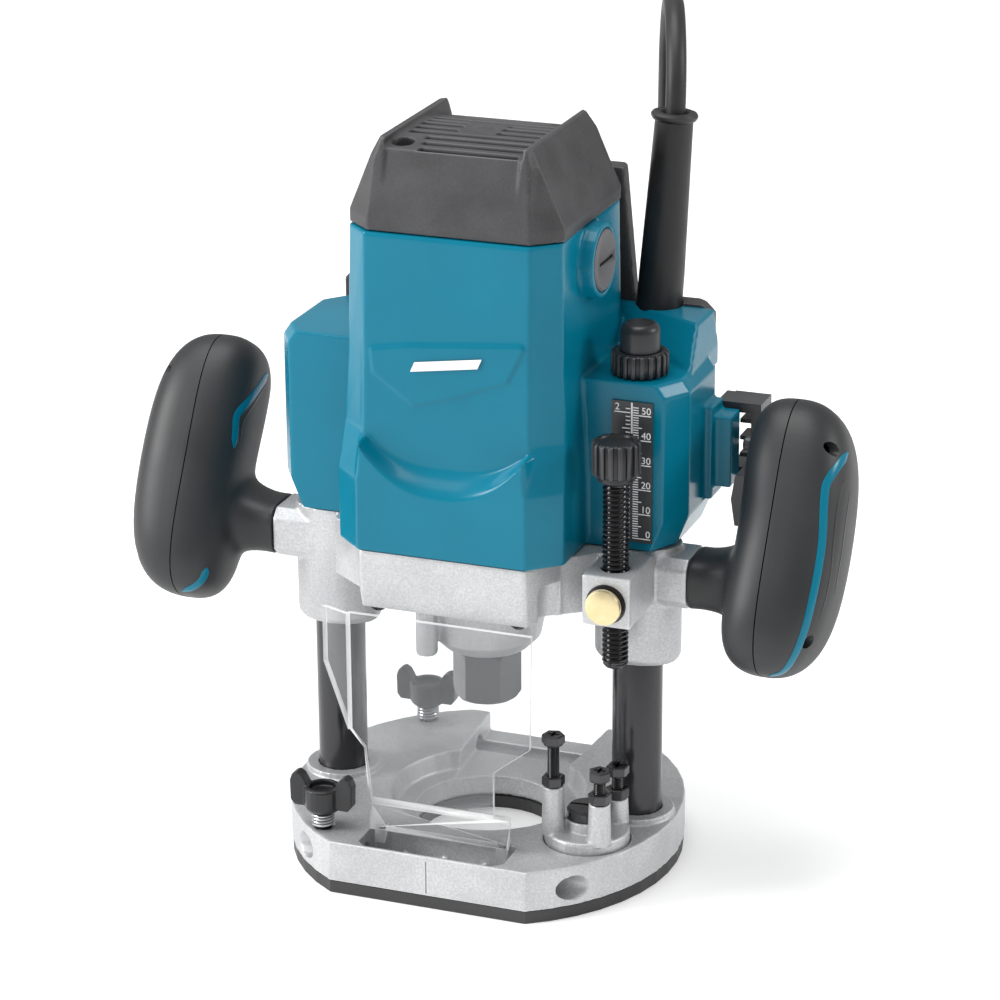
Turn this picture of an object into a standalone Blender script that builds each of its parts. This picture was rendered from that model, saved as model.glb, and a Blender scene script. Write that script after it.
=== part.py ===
"""A corded plunge router: a round cast base with two pillars, a motor head that slides on them,
two leaning grips, a depth stop with a turning stopper block, and a cord.

Sizes are in millimetres here and become metres when a mesh is made. +Z is up, the spindle is the Z axis,
-Y is the front, and the pillars stand on the X axis.
"""
import math

import bmesh
import bpy
from mathutils import Matrix, Vector

MM = 0.001
GAP = 0.3  # between pieces that touch
FIT = 0.35  # radial clearance of what slides or turns

# driving sizes
PLUNGE = 60.0
BASE_R = 80.0
BASE_FRONT = 68.6
BASE_REAR = 72.4
BASE_TOP = 22.0
BASE_REAR_TOP = 13.6
SOLE = 5.0
OPENING_R = 29.5
RIM = 3.4

PILLAR_X = 63.6
PILLAR_R = 10.0
PILLAR_WALL = 2.6
PILLAR_TOP = 142.4
RING_R = 15.0
RING_RISE = 2.7
RING_TOP = BASE_TOP + RING_RISE
ROD_BORE_R = 5.0
ROD_BORE_Y = 56.0
ROD_BORE_Z = 12.6

BOSS_R = 17.5
BOSS_DEEP = 12.8
BOSS_BOTTOM = 89.5
CAST_BOTTOM = 114.5
CAST_TOP = 138.6
CAST_FRONT = 46.4
CAST_FRONT_HALF = 34.0
CAST_REAR = 44.0
ARM_REACH = 23.4
ARM_END = PILLAR_X + ARM_REACH
ARM_HIGH = 20.5
ARM_DEEP = 25.0
ARM_Z = 125.6

SHOULDER_REACH = 20.9
SHOULDER_X = PILLAR_X + SHOULDER_REACH
SHOULDER_TOP = 206.5
LEFT_RISE = 6.0
PLATFORM_TOP = 220.5
BODY_HALF = 43.0
BODY_FLAT = 33.4
BODY_TOP = 264.0
BODY_FRONT_TOP = 39.7
BODY_FRONT_LOW = 49.2
BODY_REAR = 45.0
MOTOR_BORE_R = 35.6

COVER_HIGH = 33.3
COVER_TOP = BODY_TOP + COVER_HIGH
COVER_WALL = 2.6
FIN_X = 30.4
FIN_RISE = 1.7
FIN_TOP = COVER_TOP + FIN_RISE
SLOT_PITCH = 6.0
SLOT_WIDE = 3.0

REAR_COVER = 9.0

TURRET_IN = 10.6
TURRET_X = PILLAR_X - TURRET_IN
TURRET_Y = -29.5
TURRET_R = 16.9
TURRET_SINK = 1.5
TURRET_LOW = BASE_TOP - TURRET_SINK
TURRET_DEEP = 6.0
POST_CIRCLE = 13.6
POST_R = 4.25
POST_STEP = 98.0
POST_TOPS = (36.2, 42.5, 45.6)
HEAD_TOPS = (50.0, 56.4, 67.4)
STOP_HEX = 8.0

POLE_R = 5.2
POLE_LOW = 97.0
POLE_TOP = 189.0
POLE_REACH = 11.3
BLOCK_HALF = 9.7
BLOCK_FRONT = 41.0
BLOCK_LOW = 117.0
BLOCK_TOP = 137.6
BUTTON_R = 7.1
KNOB_R = 9.5
KNOB_LOW = 173.0

LIMIT_R = 3.6
NUT_R = 11.2
NUT_HIGH = 9.0
CAP_R = 7.7
CAP_HIGH = 10.8

GRIP_REACH = 39.0
GRIP_X = ARM_END + GRIP_REACH
GRIP_HALF = 21.7
GRIP_DEEP = 24.0
GRIP_LONG = 54.0
GRIP_Z = 145.5
GRIP_Y = 2.0
GRIP_LEAN = 29.5
GRIP_WALL = 3.2
GRIP_SPLIT_IN = 4.5
GRIP_SPLIT = GRIP_X - GRIP_SPLIT_IN

WING_X = -48.6
WING_HUB_R = 7.4
WING_LOW = 29.6
WING_HIGH = 10.0
WING_REACH = 13.0

SHIELD_WALL = 2.0
SHIELD_TOP = 113.4
SHIELD_Y = 50.2
SHIELD_HALF = 38.0

SPINDLE_LOW = 66.0
SPINDLE_R = 9.4
NUT_FLATS = 24.0
NUT_LOW = 64.0
NUT_TOP = 84.0
COLLET_R = 6.1
BEARING_LOW = 102.0
BEARING_R = 13.0
FAN_R = 30.0
CORE_R = 22.5
CORE_LOW = 178.0
CORE_HIGH = 56.0
BRUSH_Z = 250.0
BRUSH_R = 12.0

GUARD_FOOT = (56.4, 45.0)
GUARD_TOP = (60.6, 49.2, 297.5)
GUARD_R = 9.0
GUARD_DEEP = 10.0
CORD_R = 4.0
COIL_AT = (-75.0, 288.0)
COIL_R = 56.4
COIL_WIDE = 25.0
COIL_HIGH = 25.0

# colour, roughness, metallic
LOOKS = {
    "casting": ((0.62, 0.62, 0.63), 0.5, 0.9),
    "sole": ((0.02, 0.02, 0.02), 0.6, 0.0),
    "pillar": ((0.03, 0.03, 0.035), 0.25, 0.8),
    "steel": ((0.35, 0.35, 0.35), 0.35, 1.0),
    "bright_steel": ((0.6, 0.6, 0.6), 0.25, 1.0),
    "brass": ((0.80, 0.68, 0.42), 0.3, 1.0),
    "black_plastic": ((0.02, 0.02, 0.022), 0.45, 0.0),
    "clear": ((0.9, 0.92, 0.92), 0.08, 0.0),
    "housing": ((0.0, 0.26, 0.37), 0.25, 0.0),
    "cover": ((0.1, 0.1, 0.105), 0.6, 0.0),
    "grip": ((0.06, 0.06, 0.065), 0.55, 0.0),
    "copper": ((0.55, 0.25, 0.12), 0.4, 1.0),
    "carbon": ((0.03, 0.03, 0.03), 0.7, 0.0),
    "scale": ((0.03, 0.03, 0.03), 0.4, 0.0),
    "cord": ((0.02, 0.02, 0.02), 0.55, 0.0),
}


def clear_scene():
    """Removes what the file starts with."""
    for thing in list(bpy.data.objects):
        bpy.data.objects.remove(thing, do_unlink=True)


def look(name):
    """The Principled material of that name, made once."""
    found = bpy.data.materials.get(name)
    if found:
        return found
    colour, rough, metal = LOOKS[name]
    material = bpy.data.materials.new(name)
    material.use_nodes = True
    shader = material.node_tree.nodes["Principled BSDF"]
    shader.inputs["Base Color"].default_value = (*colour, 1.0)
    shader.inputs["Roughness"].default_value = rough
    shader.inputs["Metallic"].default_value = metal
    return material


def solid(points, faces):
    """An object from points in millimetres, with its faces turned outward."""
    mesh = bpy.data.meshes.new("solid")
    bm = bmesh.new()
    corners = [bm.verts.new(Vector(p) * MM) for p in points]
    for face in faces:
        bm.faces.new([corners[i] for i in face])
    bmesh.ops.recalc_face_normals(bm, faces=bm.faces)
    bm.to_mesh(mesh)
    bm.free()
    thing = bpy.data.objects.new("solid", mesh)
    bpy.context.scene.collection.objects.link(thing)
    return thing


def loft(rings):
    """A closed solid through rings of equally many points, with flat ends."""
    count = len(rings[0])
    points = [p for ring in rings for p in ring]
    faces = [list(range(count))[::-1]]
    for level in range(len(rings) - 1):
        low, high = level * count, (level + 1) * count
        for i in range(count):
            j = (i + 1) % count
            faces.append([low + i, low + j, high + j, high + i])
    faces.append([(len(rings) - 1) * count + i for i in range(count)])
    return solid(points, faces)


def prism(outline, low, high):
    """An outline in the XY plane, raised from low to high."""
    return loft([[(x, y, z) for x, y in outline] for z in (low, high)])


def block(xs, ys, zs):
    """A box from its ranges."""
    (x0, x1), (y0, y1), (z0, z1) = (sorted(r) for r in (xs, ys, zs))
    return prism([(x0, y0), (x1, y0), (x1, y1), (x0, y1)], z0, z1)


def frame_of(axis):
    """The turn that takes +Z to an axis."""
    return Vector((0, 0, 1)).rotation_difference(Vector(axis).normalized()).to_matrix()


def turned(profile, at=(0, 0, 0), axis=(0, 0, 1), steps=24, shift=0.0):
    """A profile of (radius, height) turned about an axis. It runs from the axis back to the axis, or it is a
    closed loop clear of it. The shift turns the corners on by that many degrees."""
    turn = frame_of(axis)
    closed = profile[0][0] > 0
    points, rows = [], []
    for radius, height in profile:
        row = []
        for i in range(steps if radius > 0 else 1):
            angle = 2 * math.pi * i / steps + math.radians(shift)
            p = Vector((radius * math.cos(angle), radius * math.sin(angle), height))
            row.append(len(points))
            points.append(Vector(at) + turn @ p)
        rows.append(row)
    pairs = list(zip(rows, rows[1:]))
    if closed:
        pairs.append((rows[-1], rows[0]))
    faces = []
    for low, high in pairs:
        for i in range(steps):
            j = (i + 1) % steps
            ends = [low[i % len(low)], low[j % len(low)], high[j % len(high)], high[i % len(high)]]
            faces.append(list(dict.fromkeys(ends)))
    return solid(points, faces)


def rod(radius, start, end, steps=16):
    """A plain cylinder between two points."""
    start, end = Vector(start), Vector(end)
    length = (end - start).length
    return turned([(0, 0), (radius, 0), (radius, length), (0, length)], start, end - start, steps)


def hole(radius, start, end, steps=16, shift=3.7):
    """The cutter for a round hole, its corners turned on so that they miss those of what it cuts."""
    start, end = Vector(start), Vector(end)
    length = (end - start).length
    return turned([(0, 0), (radius, 0), (radius, length), (0, length)], start, end - start, steps, shift)


def pipe(outer, inner, low, high, at=(0, 0), steps=24):
    """An upright ring."""
    profile = [(outer, low), (outer, high), (inner, high), (inner, low)]
    return turned(profile, (*at, 0), steps=steps)


def combine(thing, tools, operation):
    """Adds or cuts the tools, one after another, and removes them."""
    for tool in tools:
        step = thing.modifiers.new("combine", "BOOLEAN")
        step.operation = operation
        step.object = tool
        with bpy.context.temp_override(object=thing, active_object=thing):
            bpy.ops.object.modifier_apply(modifier=step.name)
        bpy.data.objects.remove(tool, do_unlink=True)
    return thing


def joined(thing, *tools):
    return combine(thing, tools, "UNION")


def cut(thing, *tools):
    return combine(thing, tools, "DIFFERENCE")


def kept(thing, tool):
    return combine(thing, [tool], "INTERSECT")


def piece(name, thing, surface, pivot=(0, 0, 0)):
    """Names a finished piece, gives it its look, and sets its origin on its pivot."""
    at = Vector(pivot) * MM
    thing.data.transform(Matrix.Translation(-at))
    thing.location = at
    thing.name = name
    thing.data.name = name
    thing.data.materials.clear()
    thing.data.materials.append(look(surface))
    thing.data.shade_smooth()
    thing.data.set_sharp_from_angle(angle=math.radians(32))
    return thing


def arc(centre, radius, start, end, steps):
    """Points along an arc, angles in degrees."""
    turns = [math.radians(start + (end - start) * i / steps) for i in range(steps + 1)]
    return [(centre[0] + radius * math.cos(t), centre[1] + radius * math.sin(t)) for t in turns]


def mirrored(half):
    """An outline from its right half, which runs from the front to the back."""
    return half + [(-x, y) for x, y in reversed(half)]


def base_outline(shrink=0.0, steps=16):
    """The base's round outline with its flat front and its short flat back."""
    r = BASE_R - shrink
    front, rear = BASE_FRONT - shrink, BASE_REAR - shrink
    low = -math.degrees(math.asin(front / r))
    high = math.degrees(math.asin(rear / r))
    return mirrored(arc((0, 0), r, low, high, steps))


def hexagon(at, flats, turn=0.0):
    return arc(at, flats / math.sqrt(3), turn, turn + 300, 5)


def post_places():
    """The three posts of the stopper block, spread either side of the gap that faces the pole."""
    mid = math.degrees(math.atan2(POLE_AT[1] - TURRET_Y, POLE_AT[0] - TURRET_X))
    turns = [mid + POST_STEP / 2, mid - POST_STEP / 2, mid - POST_STEP * 1.5]
    return [arc((TURRET_X, TURRET_Y), POST_CIRCLE, t, t, 1)[0] for t in turns]


POLE_AT = (TURRET_X + POLE_REACH, TURRET_Y - 0.2)
TURRET_AT = (TURRET_X, TURRET_Y)
SIDES = (("left", -1), ("right", 1))


# ---- the base and what stands on it

def make_sole():
    sole = prism(base_outline(0.4), 0, SOLE)
    lip = OPENING_R - 1.2
    sole = cut(sole, hole(lip, (0, 0, -1), (0, 0, SOLE + 1), 32))
    return piece("sub_base", sole, "sole")


def front_pocket():
    """The hollow behind the base's front wall, crossed by three low ribs."""
    low, high = SOLE + 3.5, BASE_TOP + 1
    front = -(BASE_FRONT - 2.0)
    corner = 3.5
    back = -(BASE_FRONT - 21.0)
    wide = 30.5
    half = [(wide - corner, front), (wide, front + corner), (wide, back)]
    return prism(mirrored(half), low, high)


def pocket_ribs():
    front, back = -(BASE_FRONT - 1.0), -(BASE_FRONT - 22.0)
    return [block((x - 0.9, x + 0.9), (front, back), (SOLE + 2.0, ROD_BORE_Z - 0.5)) for x in (-17, 0, 17)]


def make_base_plate():
    low = SOLE + GAP
    base = prism(base_outline(), low, BASE_TOP)
    rings = [rod(RING_R, (s * PILLAR_X, 0, low + 1), (s * PILLAR_X, 0, RING_TOP), 32) for _, s in SIDES]
    bowl = turned([(0, 14.2), (OPENING_R + 7.5, 14.2), (OPENING_R + 10.5, BASE_TOP + 1),
                   (0, BASE_TOP + 1)], steps=32)
    slope = [(23.0, 20.0), (27.0, BASE_REAR + 9)]
    rear = prism(mirrored(slope), BASE_REAR_TOP, BASE_TOP + 1)
    base = cut(base, bowl, rear)
    base = joined(base, *rings)
    base = cut(base, hole(OPENING_R, (0, 0, 0), (0, 0, BASE_TOP + 5), 32), front_pocket())
    base = joined(base, *pocket_ribs())
    for _, s in SIDES:
        at = s * PILLAR_X
        base = cut(base, hole(PILLAR_R + GAP, (at, 0, SOLE + 3), (at, 0, RING_TOP + 5), 24))
    for side in (-1, 1):
        y = side * ROD_BORE_Y
        base = cut(base, hole(ROD_BORE_R, (-BASE_R - 5, y, ROD_BORE_Z), (BASE_R + 5, y, ROD_BORE_Z)))
        base = cut(base, hole(3.0 + GAP, (WING_X, y, ROD_BORE_Z), (WING_X, y, BASE_TOP + 2), 12))
    seat = hole(TURRET_R + 0.6, (*TURRET_AT, TURRET_LOW - GAP), (*TURRET_AT, BASE_TOP + 4), 32)
    screw = hole(2.5 + GAP, (*TURRET_AT, SOLE + 6), (*TURRET_AT, BASE_TOP), 12)
    return piece("base_plate", cut(base, seat, screw), "casting")


def make_pillars():
    inner = PILLAR_R - PILLAR_WALL
    low = SOLE + 3 + GAP
    for name, s in SIDES:
        floor = 4.0
        profile = [(0, low), (PILLAR_R, low), (PILLAR_R, PILLAR_TOP - 1), (PILLAR_R - 1, PILLAR_TOP),
                   (inner, PILLAR_TOP), (inner, low + floor), (0, low + floor)]
        pillar = turned(profile, (s * PILLAR_X, 0, 0), steps=24)
        piece(f"{name}_pillar", pillar, "pillar")


def make_limit_stop():
    """The threaded rod up through the right pillar, with its knurled nut and its cap."""
    at = (PILLAR_X, 0)
    low = SOLE + 7 + GAP * 2
    nut_low = SHOULDER_TOP + GAP
    nut_top = nut_low + NUT_HIGH
    top = nut_top + CAP_HIGH - 2.5
    piece("limit_rod", rod(LIMIT_R, (*at, low), (*at, top), 12), "steel")
    nut = knurled(NUT_R, nut_low, nut_top, at, 20)
    nut = cut(nut, hole(LIMIT_R + FIT, (*at, nut_low - 1), (*at, nut_top + 1), 12))
    piece("limit_nut", nut, "black_plastic", (*at, nut_low))
    base = nut_top + GAP
    crown = [(0, CAP_HIGH), (CAP_R - 3.4, CAP_HIGH - 0.3), (CAP_R - 1.2, CAP_HIGH - 1.5),
             (CAP_R - 0.1, CAP_HIGH - 4)]
    shell = [(CAP_R, 0)] + crown[::-1]
    inside = [(0, CAP_HIGH - 2), (LIMIT_R + GAP, CAP_HIGH - 2), (LIMIT_R + GAP, 0)]
    cap = turned(inside + shell, (*at, base), steps=24)
    piece("limit_cap", cap, "black_plastic")


def knurled(radius, low, high, at, ridges):
    """A knob's body with square ridges round its edge and a small chamfer at each end."""
    ring = []
    for i in range(ridges):
        step = 360.0 / ridges
        for share, depth in ((0.04, 0.0), (0.5, 0.0), (0.58, 0.9), (0.96, 0.9)):
            ring += arc(at, radius - depth, (i + share) * step, 0, 1)[:1]
    shrunk = [(at[0] + (x - at[0]) * 0.93, at[1] + (y - at[1]) * 0.93) for x, y in ring]
    levels = [(shrunk, low), (ring, low + 0.8), (ring, high - 0.8), (shrunk, high)]
    return loft([[(x, y, z) for x, y in outline] for outline, z in levels])


def make_wing_bolts():
    for name, side in (("front", -1), ("rear", 1)):
        y = side * ROD_BORE_Y
        at = (WING_X, y, 0)
        top = WING_LOW + WING_HIGH
        hub = [(0, WING_LOW), (WING_HUB_R - 1, WING_LOW), (WING_HUB_R, WING_LOW + 1.5),
               (WING_HUB_R, top - 0.6),
               (WING_HUB_R - 0.6, top), (WING_HUB_R - 2, top), (WING_HUB_R - 2.2, top - 2.4), (0,
                                                                                               top - 2.4)]
        bolt = turned(hub, at, steps=20)
        for s in (-1, 1):
            bolt = joined(bolt, wing(at, s))
        shank = rod(2.9, (WING_X, y, ROD_BORE_Z + ROD_BORE_R + 0.2), (WING_X, y, WING_LOW + 2), 12)
        piece(f"wing_bolt_{name}", joined(bolt, shank), "black_plastic", (WING_X, y, WING_LOW))
        make_clamp_spring(name, y)


def wing(at, side):
    """One wing: a flat lobe with a round top, reaching out from the hub."""
    inner, outer = WING_HUB_R - 2.0, WING_REACH
    low, high = WING_LOW + 1.2, WING_LOW + WING_HIGH + 5.4
    half = 2.6
    side_view = [(inner, low), (outer - 1.5, low), (outer, low + 2), (outer + 0.3, high - 4),
                 (outer - 0.8, high - 1), (outer - 2.8, high), (outer - 5, high - 1.2), (inner, high - 6)]
    ends = [[(at[0] + side * x, at[1] + y, z) for x, z in side_view] for y in (-half, half)]
    return loft(ends)


def make_clamp_spring(name, y):
    """The short coil under a wing bolt, closed up so that its turns touch."""
    low, high = BASE_TOP + GAP, WING_LOW - GAP
    turns = 5
    pitch = (high - low) / turns
    outer = [(3.7 + (1.3 if i % 2 else 0.3), low + pitch * i / 2) for i in range(2 * turns + 1)]
    profile = outer + [(3.35, high), (3.35, low)]
    spring = turned(profile, (WING_X, y, 0), steps=12)
    piece(f"clamp_spring_{name}", spring, "bright_steel", (WING_X, y, low))


def make_stopper():
    """The turning block with its screw, its three posts, and a bolt and a lock nut on each post."""
    top = TURRET_LOW + TURRET_DEEP
    boss_top = top + 4.5
    disc = turned([(0, TURRET_LOW), (TURRET_R, TURRET_LOW), (TURRET_R, top - 0.8), (TURRET_R - 0.8, top),
                   (0, top)],
                  (*TURRET_AT, 0), steps=32)
    disc = joined(disc, rod(8.6, (*TURRET_AT, top - 1), (*TURRET_AT, boss_top), 24))
    places = post_places()
    for (x, y), high in zip(places, POST_TOPS):
        post = turned([(0, top - 1.4), (POST_R + 0.5, top - 1.4), (POST_R, high), (0, high)], (x, y, 0),
                      steps=16)
        disc = joined(disc, post)
    disc = cut(disc, hole(2.5 + GAP, (*TURRET_AT, TURRET_LOW - 1), (*TURRET_AT, boss_top + 1), 12))
    shank = STOP_HEX * 0.5 * 0.62
    for (x, y), high in zip(places, POST_TOPS):
        disc = cut(disc, hole(shank + GAP, (x, y, top + 1), (x, y, high + 1), 10))
    piece("stopper_block", disc, "casting", (*TURRET_AT, TURRET_LOW))
    make_turret_screw(boss_top + GAP)
    for i, ((x, y), post, head) in enumerate(zip(places, POST_TOPS, HEAD_TOPS), 1):
        make_stop_bolt(i, x, y, post, head, shank)


def make_turret_screw(low):
    head = turned([(0, low), (8.1, low), (8.1, low + 3.2), (7.2, low + 4.2), (0, low + 4.6)],
                  (*TURRET_AT, 0), steps=24)
    head = joined(head, rod(2.4, (*TURRET_AT, SOLE + 8), (*TURRET_AT, low + 1), 12))
    slot = block((TURRET_X - 10, TURRET_X + 10), (TURRET_Y - 0.7, TURRET_Y + 0.7), (low + 3.0, low + 8))
    piece("turret_screw", cut(head, slot), "black_plastic")


def make_stop_bolt(number, x, y, post, head, shank):
    nut_high = 4.0
    nut = prism(hexagon((x, y), STOP_HEX, 10 * number), post + GAP, post + GAP + nut_high)
    nut = cut(nut, hole(shank + GAP, (x, y, post - 1), (x, y, post + nut_high + 2), 10))
    piece(f"lock_nut_{number}", nut, "steel")
    bolt = prism(hexagon((x, y), STOP_HEX, 25 * number), head - 3.8, head)
    low = TURRET_LOW + TURRET_DEEP + 1 + GAP
    bolt = joined(bolt, rod(shank, (x, y, low), (x, y, head - 3), 10))
    cross = [block((x - 2.2, x + 2.2), (y - 0.5, y + 0.5), (head - 1.4, head + 1)),
             block((x - 0.5, x + 0.5), (y - 2.2, y + 2.2), (head - 1.4, head + 1))]
    piece(f"stopper_bolt_{number}", cut(bolt, *cross), "steel")


def make_shield():
    """The clear chip shield: a front wall cut away for the stopper block, a wing along the left, and a foot
    that hooks behind the base's front pocket."""
    y0, y1 = -(SHIELD_Y + SHIELD_WALL), -SHIELD_Y
    edge = SHIELD_HALF
    outline = [(-edge, SHIELD_TOP), (-edge, 64), (-32, 57), (-30.5, 33), (22, 33), (22, 54),
               (edge - 0.8, 66),
               (edge, SHIELD_TOP)]
    wall = loft([[(x, y, z) for x, z in outline] for y in (y0, y1)])
    reach = 25.5
    side = [(0, SHIELD_TOP), (reach, SHIELD_TOP - 6), (reach, 84), (0, 64.5)]
    along = Vector((-0.70, 0.714, 0)).normalized()
    across = Vector((along.y, -along.x, 0)) * SHIELD_WALL
    start = Vector((-edge + 1.2, y0 + 0.05, 0))
    inner = [[start + along * d + Vector((0, 0, z)) + across * k for d, z in side] for k in (0.0, -1.0)]
    wall = joined(wall, loft(inner))
    back = -(BASE_FRONT - 21.0)
    foot = [(y1 + 0.2, 35.5), (y0, 34.5), (y0 - 3.4, BASE_TOP + 2.4), (y0 - 1.6, BASE_TOP + 0.9),
            (y1 - 1, 32.6)]
    ends = [[(x, y, z) for y, z in foot] for x in (-29.5, 29.0)]
    wall = joined(wall, loft(ends))
    for x in (-27.0, 24.0):
        hook = block((x, x + 4), (y0 - 2.6, back - GAP), (BASE_TOP - 4, BASE_TOP + 3.2))
        wall = joined(wall, hook)
    return piece("chip_shield", wall, "clear")


def make_plunge_springs():
    """The long coils in the pillars that hold the head up."""
    low = SOLE + 7 + GAP * 2 + 0.4
    high = SHOULDER_TOP - 3.6
    turns, steps, wire, radius = 9, 8, 1.0, 5.4
    for name, s in SIDES:
        rings = []
        for i in range(turns * steps + 1):
            t = i / (turns * steps)
            angle = 2 * math.pi * turns * t
            out = Vector((math.cos(angle), math.sin(angle), 0))
            at = Vector((s * PILLAR_X, 0, low + wire + (high - low - 2 * wire) * t)) + out * radius
            corners = ((1, 0), (0, 1), (-1, 0), (0, -1))
            rings.append([at + out * wire * a + Vector((0, 0, wire * b)) for a, b in corners])
        piece(f"{name}_plunge_spring", loft(rings), "bright_steel")


# ---- the head's shells

def cast_ring(z, grow):
    """The cast body's outline between its pillar bosses at one height, its front pushed out by grow."""
    half = [(CAST_FRONT_HALF, -CAST_FRONT - grow), (CAST_FRONT_HALF + 8.5, -CAST_FRONT + 17.5 - grow),
            (PILLAR_X - 6, -BOSS_R), (PILLAR_X - 2, BOSS_R), (CAST_FRONT_HALF + 6, CAST_REAR - 10),
            (CAST_FRONT_HALF - 6, CAST_REAR)]
    return [(x, y, z) for x, y in mirrored(half)]


def oval(at, wide, deep, z, steps=28):
    """A level ellipse."""
    round_line = arc((0, 0), 1, 0, 360 - 360 / steps, steps - 1)
    return [(at[0] + wide * x, at[1] + deep * y, z) for x, y in round_line]


def make_column_housing():
    body = loft([cast_ring(CAST_BOTTOM, 0), cast_ring(CAST_TOP, 2.4)])
    neck = turned([(0, NUT_TOP + 2), (17, NUT_TOP + 2), (22, NUT_TOP + 7), (27, CAST_BOTTOM + 2),
                   (0, CAST_BOTTOM + 2)], steps=32)
    pin = rod(4.4, (-17, -22, 87.5), (-17, -22, CAST_BOTTOM + 2), 16)
    body = joined(body, neck, pin)
    for _, s in SIDES:
        levels = ((BOSS_BOTTOM, -1.6), (BOSS_BOTTOM + 2.4, 0), (CAST_TOP, 0.3))
        boss = loft([oval((s * PILLAR_X, 0), BOSS_R + grow, BOSS_DEEP + grow, z) for z, grow in levels])
        low, high = ARM_Z - ARM_HIGH / 2, ARM_Z + ARM_HIGH / 2
        c, d = 4.0, ARM_DEEP / 2
        section = [(-d + c, low), (d - c, low), (d, low + c), (d, high - c), (d - c, high), (-d + c, high),
                   (-d, high - c), (-d, low + c)]
        arm = loft([[(s * x, y, z) for y, z in section] for x in (PILLAR_X + 2, ARM_END)])
        body = joined(body, boss, arm)
    half = BLOCK_HALF
    stop = block((POLE_AT[0] - half, POLE_AT[0] + half), (-BLOCK_FRONT, -8), (BLOCK_LOW, BLOCK_TOP))
    lever_boss = rod(9.0, (-PILLAR_X, 5, BOSS_BOTTOM + 14), (-PILLAR_X, BOSS_R + 5, BOSS_BOTTOM + 14), 20)
    body = joined(body, stop, lever_boss)
    for _, s in SIDES:
        body = cut(body, hole(PILLAR_R + FIT, (s * PILLAR_X, 0, BOSS_BOTTOM - 5),
                              (s * PILLAR_X, 0, CAST_TOP + 5), 24))
    fan_room = hole(FAN_R + 3, (0, 0, BEARING_LOW + 14.5), (0, 0, CAST_TOP + 5), 32)
    seat = hole(BEARING_R + GAP, (0, 0, BEARING_LOW - GAP), (0, 0, BEARING_LOW + 20), 24)
    nose = hole(SPINDLE_R + 2.4, (0, 0, NUT_TOP - 5), (0, 0, BEARING_LOW + 5), 24)
    pole = hole(POLE_R + FIT, (*POLE_AT, BLOCK_LOW - 5), (*POLE_AT, CAST_TOP + 5), 16)
    button = hole(BUTTON_R - 1.4, (POLE_AT[0], -BLOCK_FRONT - 5, BLOCK_TOP - 11),
                  (POLE_AT[0], POLE_AT[1], BLOCK_TOP - 11), 20)
    lock = hole(3.9, (-PILLAR_X, PILLAR_R - 2, BOSS_BOTTOM + 14),
                (-PILLAR_X, BOSS_R + 20, BOSS_BOTTOM + 14), 12)
    third = post_places()[2]
    notch = hole(STOP_HEX / math.sqrt(3) + 1.4, (*third, CAST_BOTTOM - 5),
                 (*third, PLUNGE + HEAD_TOPS[2] + 1.5), 16)
    shaft_lock = hole(3.2 + FIT, (0, SPINDLE_R, BEARING_LOW - 6), (0, CAST_REAR + 20, BEARING_LOW - 6), 12)
    body = cut(body, fan_room, seat, nose, pole, button, lock, notch, shaft_lock)
    return piece("column_housing", body, "casting")


def body_ring(z, front, flat, half, rear, corner=9.5):
    """The motor body's eight-sided outline at one height."""
    right = [(flat, -front), (half, -front + corner), (half, rear - corner), (half - corner, rear)]
    return [(x, y, z) for x, y in mirrored(right)]


def shoulder(side, top):
    """The box over a pillar, with its corners cut back and its foot spread over the casting."""
    low = CAST_TOP + GAP
    inner, outer = 30.0, SHOULDER_X
    half = [(inner, -13.4), (outer - 6.9, -13.4), (outer, -2), (outer, 30), (outer - 12.5, BODY_REAR),
            (inner, BODY_REAR)]
    levels = [(low, -5.0), (low + 12, 0.0), (top - 5, 0.0), (top, -3.5)]
    rings = []
    for z, grow in levels:
        rings.append([(side * (x + (grow if x > inner else 0)), y, z) for x, y in half])
    return loft(rings)


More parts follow.
